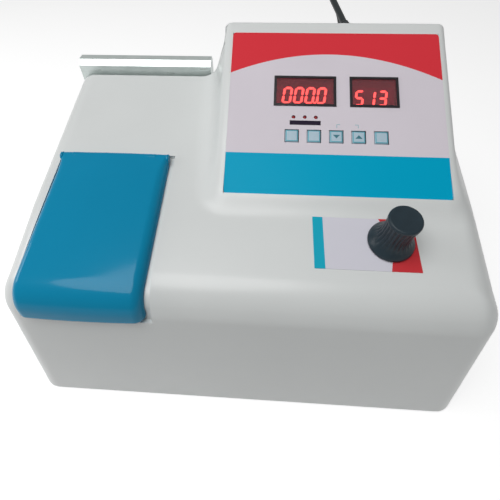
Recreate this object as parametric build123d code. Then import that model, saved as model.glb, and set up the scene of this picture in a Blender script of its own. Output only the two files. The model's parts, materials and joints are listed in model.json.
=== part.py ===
from build123d import *
import math
import os

os.makedirs("parts", exist_ok=True)

# A bench spectrophotometer: a moulded housing with a sloping top, a hinged sample lid on the
# left, a display pod and a wavelength knob on the right, and the optics and electronics inside.
# Lengths are millimetres. While the pieces are made, y is measured back from the front foot of
# the housing and z up from the bench. save() moves every piece so that the origin is the
# middle of the footprint.

# Housing outside
base_half_width = 205.8
side_flare = 0.030
side_draft = 0.1112
front_draft = 0.162
rear_draft = 0.0218
housing_depth = 279.0
shoulder_height = 148.6
top_slope = 10.0
corner_radius = 18.0
edge_radius = 16.0
wall = 3.5
foot_height = 4.0

# Display pod
pod_tilt = 26.56
pod_centre_x = 73.5
pod_centre_y = 188.4
pod_centre_height = 206.2
panel_width = 188.0
panel_height = 159.0
panel_corner = 3.0
panel_film = 0.6
fascia_thickness = 1.5
rim_left = 8.5
rim_right = 8.0
rim_front = 6.0
rim_rear = 10.0
pod_spread_left = 0.26
pod_spread_right = 0.12
pod_spread_front = 0.45
pod_corner = 11.0
pod_edge = 5.0

# Panel layout, from the middle of the panel
window_height = 30.0
window_middle_up = 18.4
four_digit_across = -26.5
four_digit_width = 55.0
three_digit_across = 34.2
three_digit_width = 42.6
bezel_width = 2.2
window_thickness = 2.0
display_up = 14.4
display_board_width = 156.0
display_board_height = 104.0
led_across = (-36.2, -26.4, -16.8)
led_up = -7.2
led_radius = 1.5
key_across = (-37.5, -18.4, 0.7, 19.8, 38.9)
key_up = -25.4
key_side = 11.8
key_thickness = 1.6
key_travel = 0.4
key_gap = 0.3
switch_body_height = 3.6
plunger_height = 0.7

# Sample lid
lid_left = -174.5
lid_right = -73.5
lid_rear = 160.0
lid_front_low = 123.5
lid_stand = 5.7
lid_sink = 3.5
lid_skin = 2.5
lid_gap = 1.0
lid_gap_right = 4.5
lid_edge = 5.0
hinge_barrel_radius = 4.2
hinge_pin_radius = 1.5
hinge_clearance = 0.05
bracket_width = 8.0
finger_left = -145.0
finger_right = -102.5
finger_height = 11.0
finger_depth = 2.0

# Sample well and what stands in it
well_left = -164.0
well_right = -80.0
well_front = 56.0
well_rear = 140.0
well_floor = 74.0
well_wall = 2.5
well_flange = 3.0
beam_height = 104.0
cuvette_side = 12.5
cuvette_fit = 0.15
holder_side = 34.0
holder_height = 42.0
holder_base = 4.0

# Wavelength knob and its drive
knob_x = 113.5
knob_back = 81.0
knob_low = 1.0
knob_skirt_radius = 17.8
knob_cap_radius = 12.2
knob_height = 35.0
knob_flutes = 24
shaft_radius = 3.0
shaft_clearance = 0.05
bush_radius = 6.0
gear_module = 0.8
pinion_teeth = 14
sector_teeth = 140
gear_face = 4.0
pinion_face = 5.0
gear_depth = 24.0
gear_backlash = 0.14
sector_half_angle = 21.0
sector_bearing = 144.0

# Printed label round the knob
decal_left = 54.0
decal_right = 134.0
decal_front = 56.5
decal_rear = 111.0
decal_thickness = 0.4

# Monochromator casting, in the sloping frame of the top
mono_left = -58.0
mono_right = 168.0
mono_front = 27.0
mono_rear = 172.0
mono_top_depth = 36.0
mono_height = 52.0
mono_wall = 4.0
table_radius = 17.0
grating_height = 24.0
grating_shaft_radius = 4.0
bearing_fit = 0.05
cover_thickness = 2.0

# Rear lamp cover and lamp
cover_left = -193.0
cover_right = -48.0
cover_depth = 20.0
cover_top = 204.0
cover_low = 60.0
cover_sheet = 1.2
cover_chamfer = 5.0
cover_flange = 12.0
lamp_x = -132.0
lamp_y = 165.0

# Chassis
plate_thickness = 2.0
plate_gap = 0.6
foot_radius = 11.0
screw_radius = 1.75
boss_height = 26.0
board_thickness = 1.6
board_lift = 8.0
board_x = 40.0
board_y = 240.0
board_width = 110.0
board_depth = 54.0
transformer_x = 142.0
transformer_y = 212.0

# Rear wall fittings
switch_x = 150.0
switch_z = 60.0
switch_width = 22.0
switch_height = 30.0
rocker_throw = 9.0
fuse_x = 110.0
fuse_z = 60.0
fuse_radius = 6.5

# Mains lead. Its arch is (back, up) points in the plane it stands in, its drop is (x, y, z) points.
lead_diameter = 6.5
boot_x = 96.9
boot_wall_z = 230.0
boot_length = 36.0
arch = [(334.0, 240.6), (362.0, 246.0), (391.0, 245.0), (415.0, 229.0), (431.0, 202.0)]
drop_high = [(115.0, 441.0, 170.0), (118.0, 446.0, 136.0), (119.0, 448.0, 100.0)]
drop_low = [(118.5, 447.5, 66.0), (117.5, 441.0, 36.0), (117.0, 424.0, 12.5)]
coil_turns = 2
coil_outer = 45.0
coil_pitch = 8.2
coil_layer = 7.0
coil_x = 72.0
coil_back = 350.0
coil_tail = 14.0
plug_length = 40.0
plug_width = 26.0

# Worked out from the sizes above
depth_over_all = housing_depth - rear_draft * cover_low + cover_depth
middle_y = depth_over_all / 2
slope_rise = math.tan(math.radians(top_slope))
shoulder_y = front_draft * shoulder_height


def save(node, shape):
    """Write one node, moved so that the origin is the middle of the footprint."""
    solids = shape.solids() if hasattr(shape, "solids") else list(shape)
    moved = [Pos(0, -middle_y, 0) * one for one in solids]
    export_step(moved[0] if len(moved) == 1 else Compound(children=moved), f"parts/{node}.step")


def half_width(y, z):
    """Half the housing's outside width at y, a height z above its lower edge."""
    return base_half_width + side_flare * y - side_draft * z


def rear_y(z):
    """The outside of the rear wall a height z above the housing's lower edge."""
    return housing_depth - rear_draft * z


def top_z(y):
    """Height of the sloping top above the bench."""
    return foot_height + shoulder_height + slope_rise * (y - shoulder_y)


def tilted(origin, tilt):
    """A frame with x across, y up the slope and z out of a face that tilts towards the front."""
    angle = math.radians(tilt)
    normal = (0, -math.sin(angle), math.cos(angle))
    return Plane(origin=origin, x_dir=(1, 0, 0), z_dir=normal).location


slope_frame = tilted((0, 0, top_z(0)), top_slope)
panel_frame = tilted((pod_centre_x, pod_centre_y, pod_centre_height + foot_height), pod_tilt)
up_slope = 1 / math.cos(math.radians(top_slope))


def on_slope(x, y, out=0.0):
    """A place on the sloping top above (x, y), moved out along its normal."""
    return slope_frame * Pos(x, y * up_slope, out)


def on_panel(across, up, out=0.0):
    """A place on the pod's face, from its middle."""
    return panel_frame * Pos(across, up, out)


def block(x0, x1, y0, y1, z0, z1):
    """A box between two corners."""
    return Pos((x0 + x1) / 2, (y0 + y1) / 2, (z0 + z1) / 2) * Box(x1 - x0, y1 - y0, z1 - z0)


def rod(radius, length):
    """A cylinder that starts at z = 0 and rises."""
    return Pos(0, 0, length / 2) * Cylinder(radius, length)


def hexahedron(low, high):
    """A solid with six flat faces between two loops of four corners."""
    loops = [low, list(reversed(high))]
    for i in range(4):
        j = (i + 1) % 4
        loops.append([low[i], low[j], high[j], high[i]])
    return Solid(Shell([Face(Wire.make_polygon(loop, close=True)) for loop in loops]))


def plan_corners(z, inset):
    """The housing's four plan corners at height z above its lower edge, drawn in by inset."""
    front = front_draft * z + inset
    rear = rear_y(z) - inset
    at_front = half_width(front, z) - inset
    at_rear = half_width(rear, z) - inset
    level = z + foot_height
    return [(-at_front, front, level), (at_front, front, level),
            (at_rear, rear, level), (-at_rear, rear, level)]


def body_form(inset):
    """The main box: drafted walls, a sloping top and rounded edges, drawn in by inset."""
    high = shoulder_height + slope_rise * housing_depth + 20
    solid = hexahedron(plan_corners(-inset, inset), plan_corners(high, inset))
    above = slope_frame * Pos(0, 150, 200 - inset) * Box(900, 900, 400)
    solid = solid - above
    upright = [e for e in solid.edges() if abs(e.tangent_at(0.5).Z) > 0.9]
    solid = fillet(upright, corner_radius - inset)
    top_face = solid.faces().sort_by(Axis.Z)[-1]
    return fillet(top_face.edges(), edge_radius - inset)


def pod_corners(out, inset):
    """The pod's four corners at a distance out along the face's normal, drawn in by inset."""
    drop = -out
    left = -panel_width / 2 - rim_left - pod_spread_left * drop + inset
    right = panel_width / 2 + rim_right + pod_spread_right * drop - inset
    low = -panel_height / 2 - rim_front - pod_spread_front * drop + inset
    high = panel_height / 2 + rim_rear + 60
    corners = [(left, low), (right, low), (right, high), (left, high)]
    return [tuple(on_panel(across, up, out).position) for across, up in corners]


def pod_form(inset):
    """The wedge that carries the display, flush with the housing's rear wall."""
    face_out = -panel_film - inset
    solid = hexahedron(pod_corners(face_out - 70, inset), pod_corners(face_out, inset))
    lean = math.degrees(math.atan(rear_draft))
    behind = Pos(0, rear_y(0) - inset, foot_height) * Rot(lean, 0, 0) * block(-300, 300, 0, 300, -50, 400)
    solid = solid - behind
    normal = Vector(0, -math.sin(math.radians(pod_tilt)), math.cos(math.radians(pod_tilt)))
    upright = [e for e in solid.edges() if abs(e.tangent_at(0.5).Z) > 0.6]
    solid = fillet(upright, pod_corner - inset)
    face = max(solid.faces(), key=lambda f: f.center().dot(normal))
    return fillet(face.edges(), max(pod_edge - inset, 1.0))


def lid_outline(grow, out, low):
    """The side view of the lid's outside: along the top, over the shoulder, down the front.

    It is grown by grow all round, stands out from the housing and ends low on the front."""
    slope = math.radians(top_slope)
    lean = math.atan(front_draft)
    rear = lid_rear + grow
    raise_by = out / math.cos(slope)
    push_by = out / math.cos(lean)
    foot = low + foot_height - grow
    corner_y = (front_draft * (shoulder_height + raise_by) - push_by - front_draft * slope_rise * shoulder_y)
    corner_y = corner_y / (1 - front_draft * slope_rise)
    corner = (corner_y, top_z(corner_y) + raise_by)
    points = [
        (rear, top_z(rear) + raise_by),
        corner,
        (front_draft * (foot - foot_height) - push_by, foot),
    ]
    return points


def lid_band(grow, outer, inner, low, round_out, round_in, more_right=0.0):
    """A solid bent over the shoulder between an outer and an inner offset of the housing."""
    over = lid_outline(grow, outer, low)
    under = lid_outline(grow, inner, low)
    sketch = make_face(Polyline(*over, *reversed(under), close=True))
    bend_out = min(sketch.vertices(), key=lambda v: math.dist((v.X, v.Y), over[1]))
    sketch = fillet(bend_out, round_out)
    bend_in = min(sketch.vertices(), key=lambda v: math.dist((v.X, v.Y), under[1]))
    sketch = fillet(bend_in, round_in)
    width = lid_right - lid_left + 2 * grow + more_right
    flat = Plane(origin=(lid_left - grow, 0, 0), x_dir=(0, 1, 0), z_dir=(1, 0, 0))
    return extrude(flat * sketch, width)


hinge_y = lid_rear - hinge_barrel_radius
hinge_out = lid_stand - hinge_barrel_radius
hinge_place = on_slope(0, hinge_y, hinge_out)
hinge_z = hinge_place.position.Z
hinge_y = hinge_place.position.Y


def along_x(x0, x1, y, z, radius):
    """A round bar along x."""
    return Pos(x0, y, z) * Rot(0, 90, 0) * rod(radius, x1 - x0)


def hinge_bar(x0, x1, radius):
    """A round bar on the lid's hinge line."""
    return along_x(x0, x1, hinge_y, hinge_z, radius)


bracket_left = lid_left + 3
bracket_right = lid_right - 3 - bracket_width


# Housing shell
def finger_recess():
    """The shallow recess in the front wall that lets a finger under the lid's edge."""
    lean = math.degrees(math.atan(front_draft))
    place = Pos(0, front_draft * lid_front_low, lid_front_low + foot_height) * Rot(-lean, 0, 0)
    return place * block(finger_left, finger_right, -10, finger_depth, -finger_height, 2)


def boss_places():
    """The six posts that take the housing screws, beside the long walls."""
    places = []
    for y in (34.0, 140.0, 246.0):
        reach = half_width(y, 20) - wall - 9.0
        places.append((-reach, y))
        places.append((reach, y))
    return places


floor_z = foot_height + 0.5
plate_top = floor_z + plate_thickness
bench_bosses = boss_places()
panel_hole_width = panel_width - 24.0
panel_hole_height = panel_height - 46.0
panel_hole_up = 4.0


def housing_shell():
    shell = (body_form(0) + pod_form(0)) - (body_form(wall) + pod_form(wall))
    floor = block(-400, 400, -100, 400, -60, foot_height)
    shell = shell - floor
    wider = lid_gap_right - lid_gap
    recess = lid_band(lid_gap, 30, -lid_sink - 0.4, lid_front_low, 20, 12, wider)
    pad = lid_band(lid_gap + 6, -1, -lid_sink - 4, lid_front_low - 7, 16, 11, wider) & body_form(0.3)
    groove = hinge_bar(lid_left - lid_gap, lid_right + lid_gap_right, hinge_barrel_radius + 0.7)
    trough = hinge_bar(lid_left - 6, lid_right + lid_gap_right + 5, hinge_barrel_radius + 4)
    shell = shell + pad + (trough & body_form(0.3))
    shell = shell - recess - groove - finger_recess()
    mouth = block(well_left, well_right, well_front, well_rear, 60, 260)
    shell = shell - mouth
    panel_hole = on_panel(0, panel_hole_up, -6) * Box(panel_hole_width, panel_hole_height, 14)
    rebate = panel_plate(0.3, fascia_low, 5)
    shell = shell - rebate
    knob_hole = on_slope(knob_x, knob_back, -10) * rod(bush_radius + 0.1, 20)
    shell = shell - panel_hole - knob_hole
    for x, y in bench_bosses:
        side = 1 if x > 0 else -1
        post = Pos(x, y, plate_top) * rod(6.0, boss_height)
        left, right = min(x, x + side * 14), max(x, x + side * 14)
        web = block(left, right, y - 1.5, y + 1.5, plate_top, plate_top + 22)
        shell = shell + post + (web & body_form(0.5))
    for x, y in bench_bosses:
        shell = shell - Pos(x, y, plate_top - 1) * rod(screw_radius, 16)
    rear = rear_y(60)
    switch_hole = block(switch_x - switch_width / 2, switch_x + switch_width / 2, rear - 12, rear + 12,
                        switch_z - switch_height / 2, switch_z + switch_height / 2)
    fuse_hole = Pos(fuse_x, rear - 12, fuse_z) * Rot(-90, 0, 0) * rod(fuse_radius, 24)
    boot_hole = Pos(boot_x, rear - 16, boot_wall_z) * Rot(-90, 0, 0) * rod(6.0, 30)
    lamp_hole = block(cover_left + 26, cover_right - 16, rear - 20, rear + 20, cover_low + 22, 158)
    shell = shell - switch_hole - fuse_hole - boot_hole - lamp_hole
    for x, z in cover_screw_places():
        shell = shell - Pos(x, rear - 12, z) * Rot(-90, 0, 0) * rod(screw_radius, 24)
    for row in range(5):
        for column in range(2):
            x = 20 + column * 42
            slot = block(x, x + 32, rear - 12, rear + 12, 44 + row * 11, 48 + row * 11)
            shell = shell - slot
    return shell


def bench_place(x, y, z):
    """Where a point of the bench frame lies in the slope's own frame."""
    angle = math.radians(top_slope)
    rise = z - top_z(0)
    along = y * math.cos(angle) + rise * math.sin(angle)
    out = rise * math.cos(angle) - y * math.sin(angle)
    return x, along, out


def slope_block(x0, x1, v0, v1, w0, w1):
    """A box between two corners of the slope's own frame."""
    return slope_frame * block(x0, x1, v0, v1, w0, w1)


def slope_rod(x, v, w0, w1, radius):
    """A round bar square to the sloping top."""
    return slope_frame * Pos(x, v, w0) * rod(radius, w1 - w0)


# Chassis
def base_plate():
    corners = [p[:2] for p in plan_corners(floor_z - foot_height, wall + plate_gap)]
    outline = fillet(make_face(Polyline(*corners, close=True)).vertices(), corner_radius - wall)
    plate = extrude(Pos(0, 0, floor_z) * outline, plate_thickness)
    for x, y in bench_bosses:
        plate = plate - Pos(x, y, floor_z - 1) * rod(2.0, plate_thickness + 2)
    for x, y in foot_places:
        plate = plate - Pos(x, y, floor_z - 1) * rod(screw_radius, plate_thickness + 2)
    for row in range(6):
        y = lamp_y + 22 + row * 9
        plate = plate - block(lamp_x - 26, lamp_x + 26, y, y + 4, floor_z - 1, plate_top + 1)
    for x, y in board_posts:
        plate = plate + Pos(x, y, plate_top) * rod(3.0, board_lift)
    return plate


foot_places = [(x, y) for x in (-170.0, 170.0) for y in (52.0, 228.0)]
board_posts = [(board_x + i * 48.0, board_y + j * 21.0) for i in (-1, 1) for j in (-1, 1)]


def rubber_feet():
    feet = []
    for x, y in foot_places:
        foot = rod(foot_radius, floor_z)
        foot = chamfer(foot.edges().filter_by(GeomType.CIRCLE).sort_by(Axis.Z)[0], 1.0)
        foot = foot - rod(4.0, 2.2) - rod(screw_radius, floor_z)
        feet.append(Pos(x, y, 0) * foot)
    return feet


def foot_screws():
    screw = Pos(0, 0, 0.8) * rod(3.4, 1.4) + Pos(0, 0, 2) * rod(screw_radius - 0.05, 7.5)
    return [Pos(x, y, 0) * screw for x, y in foot_places]


def housing_screws():
    head = Pos(0, 0, floor_z - 2.0) * rod(3.2, 2.0)
    screw = head + Pos(0, 0, floor_z - 0.5) * rod(screw_radius - 0.05, 14.0)
    slot = Pos(0, 0, floor_z - 2.0) * Box(4.4, 0.9, 1.6)
    return [Pos(x, y, 0) * (screw - slot) for x, y in bench_bosses]


# Sample lid and hinge
def lid_offset(point):
    """How far a point stands out from the housing's top or front, whichever is more."""
    along = bench_place(point.X, point.Y, point.Z)[2]
    forward = (front_draft * (point.Z - foot_height) - point.Y) * math.cos(math.atan(front_draft))
    return max(along, forward)


lid_bend = edge_radius + lid_stand + 4.0


def hinge_box(x0, x1, front, rear, low, high):
    """A box in a frame that lies along the slope with its x axis on the hinge line."""
    frame = tilted((0, hinge_y, hinge_z), top_slope)
    return frame * block(x0, x1, front, rear, low, high)


def sample_lid():
    lid = lid_band(0, lid_stand, -lid_sink, lid_front_low, lid_bend, edge_radius - lid_sink)
    ends = (lid_left, lid_right)
    sides = [e for e in lid.edges() if min(abs(e.center().X - end) for end in ends) < 0.01]
    lid = fillet([e for e in sides if lid_offset(e.center()) > 3.0], lid_edge)
    inner_bend = lid_bend - lid_skin
    hollow = lid_band(-lid_skin, lid_stand - lid_skin, -lid_sink - 6, lid_front_low, inner_bend, 6)
    rest = block(lid_left - 1, lid_right + 1, -60, 24, 0, lid_front_low + foot_height + 8)
    lid = lid - (hollow - rest)
    past = lid_rear - hinge_y + 20
    lid = lid - hinge_box(lid_left - 1, lid_right + 1, 0, past, -40, 40)
    barrel = hinge_bar(lid_left, lid_right, hinge_barrel_radius)
    web = hinge_box(lid_left, lid_right, -hinge_barrel_radius, 0,
                    -hinge_barrel_radius * 0.6, hinge_barrel_radius)
    lid = lid + barrel + web
    for x in (bracket_left, bracket_right):
        reach = hinge_barrel_radius + 2.3
        notch = hinge_box(x - 0.5, x + bracket_width + 0.5, -reach, past, -20, 20)
        lid = lid - notch
    return lid - hinge_bar(lid_left + 1.5, lid_right - 1.5, hinge_pin_radius + hinge_clearance)


def lid_hinge_brackets():
    brackets = []
    low = -(lid_sink + 0.4 + hinge_out)
    for x in (bracket_left, bracket_right):
        foot = hinge_box(x, x + bracket_width, -3.4, 3.4, low, 0)
        bracket = foot + hinge_bar(x, x + bracket_width, 3.4)
        brackets.append(bracket - hinge_bar(x - 1, x + bracket_width + 1, hinge_pin_radius + 0.02))
    return brackets


def lid_light_seal():
    depth = lid_stand - lid_skin
    outer = on_slope((well_left + well_right) / 2, (well_front + well_rear) / 2, 0)
    width = well_right - well_left + 2 * well_flange
    length = (well_rear - well_front) * up_slope + 2 * well_flange
    thick = depth + lid_sink + 0.4 - 1.5 - 0.5
    frame = Box(width, length, thick) - Box(width - 6, length - 6, thick + 1)
    return outer * Pos(0, 0, depth - thick / 2) * frame


# Sample well
well_x = (well_left + well_right) / 2
well_y = (well_front + well_rear) / 2


def sample_well():
    play = 0.3
    outer = block(well_left + play, well_right - play, well_front + play, well_rear - play, well_floor, 260)
    shift = well_wall + play
    inner = block(well_left + shift, well_right - shift, well_front + shift, well_rear - shift,
                  well_floor + well_wall, 261)
    seat = lid_sink + 0.4
    flange = on_slope(well_x, well_y, -seat + 0.75)
    width = well_right - well_left + 2 * well_flange
    length = (well_rear - well_front) * up_slope + 2 * well_flange
    above = on_slope(well_x, well_y, -seat + 1.5 + 100) * Box(400, 400, 200)
    well = (outer - above) + flange * Box(width, length, 1.5)
    well = well - inner
    return well - along_x(well_left - 5, well_right + 5, well_y, beam_height, 4.0)


def cuvette_holder():
    low = well_floor + well_wall
    half = holder_side / 2
    base = block(well_x - half - 8, well_x + half + 8, well_y - half, well_y + half, low, low + holder_base)
    body = block(well_x - half, well_x + half, well_y - half, well_y + half, low, low + holder_height)
    body = fillet(body.edges().filter_by(Axis.Z), 3.0)
    pocket = cuvette_side / 2 + cuvette_fit
    hole = block(well_x - pocket, well_x + pocket, well_y - pocket, well_y + pocket,
                 low + holder_base, low + holder_height + 1)
    beam = along_x(well_x - 40, well_x + 40, well_y, beam_height, 4.0)
    relief = block(well_x - 3, well_x + 3, well_y - half - 1, well_y,
                   low + holder_height - 12, low + holder_height + 1)
    holder = (base + body) - hole - beam - relief
    for side in (-1, 1):
        screw_hole = Pos(well_x + side * (half + 4), well_y, low + holder_base - 2) * rod(1.6, 4)
        holder = holder - screw_hole
    return holder


def detector_housing():
    reach = 24.0
    right = well_left + 0.3
    body = block(right - reach, right, well_y - 15, well_y + 15, beam_height - 15, beam_height + 15)
    body = body - along_x(right - 9, right + 1, well_y, beam_height, 4.0)
    return body - along_x(right - 17, right - 8.5, well_y, beam_height, 4.8)


def photodiode():
    right = well_left + 0.3
    can = along_x(right - 16.6, right - 10.6, well_y, beam_height, 4.75)
    rim = along_x(right - 17.0, right - 16.4, well_y, beam_height, 4.78)
    return can + rim


# Lamp
lamp_low = beam_height - 20
lens_x = lamp_x + 36


def lamp_house():
    left, right = lamp_x - 24, lamp_x + 26
    front, rear = lamp_y - 17, lamp_y + 17
    top = beam_height + 34
    box = block(left, right, front, rear, plate_top, top)
    box = box - block(left + 1.5, right - 1.5, front + 1.5, rear + 5, lamp_low - 10, top + 1)
    box = box - block(left + 1.5, right - 1.5, front + 1.5, rear + 5, plate_top + 1.5, lamp_low - 12)
    box = box - along_x(right - 3, right + 3, lamp_y, beam_height, 10)
    tube = along_x(right, lens_x + 6, lamp_y, beam_height, 15.0)
    tube = tube - along_x(right - 1, lens_x + 7, lamp_y, beam_height, 10.0)
    seat = along_x(lens_x - 3.2, lens_x + 7, lamp_y, beam_height, 12.6)
    return (box + tube) - seat


def condenser_lens():
    rim, crown = 0.5, 4.0
    left = ThreePointArc((12.5, -rim), (0, -crown), (-12.5, -rim))
    right = ThreePointArc((12.5, rim), (0, crown), (-12.5, rim))
    ends = [Line((12.5, -rim), (12.5, rim)), Line((-12.5, -rim), (-12.5, rim))]
    half = make_face([left, right] + ends) & Pos(6.25, 0) * Rectangle(12.5, 12)
    lens = revolve(half, Axis.Y)
    return Pos(lens_x, lamp_y, beam_height) * Rot(0, 0, 90) * lens


def lamp_socket():
    base = block(lamp_x - 9, lamp_x + 9, lamp_y - 7, lamp_y + 7, lamp_low - 10, lamp_low + 6)
    for side in (-1, 1):
        base = base - Pos(lamp_x + side * 2.4, lamp_y, lamp_low - 2) * rod(0.8, 10)
    return base


def halogen_lamp():
    glass = Pos(lamp_x, lamp_y, lamp_low + 6) * rod(5.2, 24)
    tip = Pos(lamp_x, lamp_y, lamp_low + 30) * Sphere(5.2)
    lamp = glass + tip
    for side in (-1, 1):
        lamp = lamp + Pos(lamp_x + side * 2.4, lamp_y, lamp_low - 1) * rod(0.7, 8)
    return lamp


cover_wall_y = rear_y(cover_low - cover_flange) + 0.05


def lamp_house_cover():
    wall_y = cover_wall_y
    back = housing_depth - rear_draft * cover_low + cover_depth
    low, high = cover_low + foot_height, cover_top + foot_height
    box = block(cover_left, cover_right, wall_y, back, low, high)
    box = chamfer(box.edges().filter_by(Axis.X).group_by(Axis.Z)[-1], cover_chamfer)
    sheet = cover_sheet
    inner = block(cover_left + sheet, cover_right - sheet, wall_y + sheet, back - sheet,
                  low + sheet, high - sheet)
    inner = chamfer(inner.edges().filter_by(Axis.X).group_by(Axis.Z)[-1], cover_chamfer - 0.6 * sheet)
    front_sill = shoulder_height + slope_rise * (housing_depth - shoulder_y) + foot_height - edge_radius - 4
    mouth = block(cover_left + sheet, cover_right - sheet, wall_y - 5, wall_y + 2 * sheet,
                  low + sheet, front_sill)
    cover = box - inner - mouth
    foot = block(cover_left + 16, cover_right + cover_flange, wall_y, wall_y + sheet,
                 low - cover_flange, low + 0.1)
    side = block(cover_right - 0.1, cover_right + cover_flange, wall_y, wall_y + sheet,
                 low - cover_flange, low + 110)
    cover = cover + foot + side
    for x, z in cover_screw_places():
        cover = cover - Pos(x, wall_y - 5, z) * Rot(-90, 0, 0) * rod(screw_radius + 0.2, 12)
    for row in range(6):
        z = low + 24 + row * 9
        cover = cover - block(cover_left + 30, cover_right - 30, back - 5, back + 5, z, z + 4)
    return cover


def cover_screw_places():
    """Two screws in the cover's lower flange and two in its right one."""
    low = cover_low + foot_height
    return [(cover_left + 30, low - 6), (cover_left + 80, low - 6),
            (cover_right + 6, low - 6), (cover_right + 6, low + 96)]


def cover_screws():
    screws = []
    for x, z in cover_screw_places():
        start = cover_wall_y + cover_sheet
        head = Pos(x, start, z) * Rot(-90, 0, 0) * rod(3.2, 2.0)
        shank = Pos(x, start - 8, z) * Rot(-90, 0, 0) * rod(screw_radius - 0.05, 8.5)
        slot = Pos(x, start + 2.0, z) * Box(4.4, 1.6, 0.9)
        screws.append(head + shank - slot)
    return screws


# Monochromator, laid along the slope
mono_low = -(mono_top_depth + mono_height)
knob_v = knob_back * up_slope
gear_distance = gear_module * (pinion_teeth + sector_teeth) / 2
sector_angle = math.radians(sector_bearing)
sector_x = knob_x + gear_distance * math.cos(sector_angle)
sector_v = knob_v + gear_distance * math.sin(sector_angle)
table_w = mono_low + mono_wall + 7
mirror_x = mono_right - mono_wall - 16


def monochromator_casting():
    top = -mono_top_depth
    outer = slope_block(mono_left, mono_right, mono_front, mono_rear, mono_low, top)
    upright = [e for e in outer.edges() if abs(e.tangent_at(0.5).Z) > 0.9]
    outer = fillet(upright, 8.0)
    wall_in = mono_wall
    inner = slope_block(mono_left + wall_in, mono_right - wall_in, mono_front + wall_in, mono_rear - wall_in,
                        mono_low + wall_in, top + 1)
    upright = [e for e in inner.edges() if abs(e.tangent_at(0.5).Z) > 0.9]
    inner = fillet(upright, 5.0)
    below = slope_block(-400, 400, -200, 400, mono_low + 1, 200)
    legs = []
    for x in (mono_left + 12, mono_right - 12):
        for y in (64.0, 172.0):
            legs.append((Pos(x, y, plate_top) * rod(7.0, 120)) - below)
    casting = outer
    for leg in legs:
        casting = casting + leg
    casting = casting - inner
    boss = slope_rod(sector_x, sector_v, mono_low + 1, table_w - 2, 8.0)
    casting = casting + boss
    casting = casting - slope_rod(sector_x, sector_v, mono_low + 3, table_w,
                                  grating_shaft_radius + bearing_fit)
    tube_end = well_right - 0.3
    tube = along_x(tube_end, mono_left + 1, well_y, beam_height, 6.5)
    casting = casting + tube
    casting = casting - along_x(tube_end - 1, mono_left + 10, well_y, beam_height, 4.5)
    return casting - along_x(mono_left - 2, mono_left + 10, lamp_y, beam_height, 4.5)


def monochromator_cover():
    top = -mono_top_depth
    cover = slope_block(mono_left, mono_right, mono_front, mono_rear, top, top + cover_thickness)
    upright = [e for e in cover.edges() if abs(e.tangent_at(0.5).dot(slope_normal)) > 0.9]
    cover = fillet(upright, 8.0)
    cover = cover + slope_rod(sector_x, sector_v, top - 4, top + cover_thickness + 1.5, 8.0)
    cover = cover + slope_rod(knob_x, knob_v, top, top + cover_thickness + 2.0, 6.0)
    cover = cover - slope_rod(sector_x, sector_v, top - 5, top + 10, grating_shaft_radius + bearing_fit)
    return cover - slope_rod(knob_x, knob_v, top + 0.4, top + 10, shaft_radius + shaft_clearance)


slope_normal = Vector(0, -math.sin(math.radians(top_slope)), math.cos(math.radians(top_slope)))


def slit_plates():
    plates = []
    for y in (well_y, lamp_y):
        x = mono_left + mono_wall
        disc = along_x(x, x + 1.0, y, beam_height, 8.0)
        gap = Pos(x, y, beam_height) * Box(4, 0.6, 8)
        plates.append(disc - gap)
    return plates


def collimating_mirror():
    middle = (table_w + -mono_top_depth) / 2
    v = sector_v
    blank = slope_frame * Pos(mirror_x, v, middle) * Rot(0, 90, 0) * rod(17.0, 7.0)
    bowl = slope_frame * Pos(mirror_x - 148.5, v, middle) * Sphere(150)
    return blank - bowl


def mirror_mount():
    middle = (table_w + -mono_top_depth) / 2
    low = mono_low + mono_wall
    back = slope_block(mirror_x + 7.0, mirror_x + 10.0, sector_v - 15, sector_v + 15, low, middle + 15)
    foot = slope_block(mirror_x - 6, mirror_x + 10, sector_v - 15, sector_v + 15, low, low + 3)
    return back + foot


def grating_table():
    disc = slope_rod(sector_x, sector_v, table_w - 1.5, table_w + 2, table_radius)
    fence = slope_block(sector_x - 8.5, sector_x - 4.2, sector_v - 12, sector_v + 12,
                        table_w + 1, table_w + 20)
    bore = slope_rod(sector_x, sector_v, table_w - 5, table_w + 10, grating_shaft_radius + 0.02)
    return disc + fence - bore


def diffraction_grating():
    low = table_w + 2
    return slope_block(sector_x + 4.4, sector_x + 10.4, sector_v - 12.5, sector_v + 12.5,
                       low, low + grating_height)


def grating_shaft():
    bar = slope_rod(sector_x, sector_v, mono_low + 3.3, -gear_depth + 2, grating_shaft_radius)
    return bar


def gear_outline(teeth, backlash, first, last):
    """Points of an involute gear's teeth from tooth first to tooth last, backlash shared."""
    pitch = gear_module * teeth / 2
    base = pitch * math.cos(math.radians(20))
    tip = pitch + gear_module
    root = pitch - 1.3 * gear_module
    roll = math.tan(math.radians(20)) - math.radians(20)
    half = math.pi / 2 / teeth - backlash / 2 / pitch + roll
    low = max(base, root + 0.05)
    radii = [low + (tip - low) * i / 4 for i in range(5)]
    flank = []
    for r in radii:
        pressure = math.acos(min(1.0, base / r))
        flank.append((r, half - (math.tan(pressure) - pressure)))
    points = []
    for tooth in range(first, last + 1):
        middle = 2 * math.pi * tooth / teeth
        points.append((root, middle - flank[0][1]))
        points += [(r, middle - a) for r, a in flank]
        points += [(r, middle + a) for r, a in reversed(flank)]
        points.append((root, middle + flank[0][1]))
    return [(r * math.cos(a), r * math.sin(a)) for r, a in points]


def drive_pinion():
    teeth = gear_outline(pinion_teeth, gear_backlash, 0, pinion_teeth - 1)
    outline = make_face(Polyline(*teeth, close=True))
    gear = extrude(outline, pinion_face)
    hub = Pos(0, 0, pinion_face) * rod(5.0, 4.0)
    gear = gear + hub - Pos(0, 0, -1) * rod(shaft_radius + 0.02, 20)
    turn = math.degrees(sector_angle) + 180 / pinion_teeth
    return slope_frame * Pos(knob_x, knob_v, -gear_depth - pinion_face) * Rot(0, 0, turn) * gear


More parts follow.
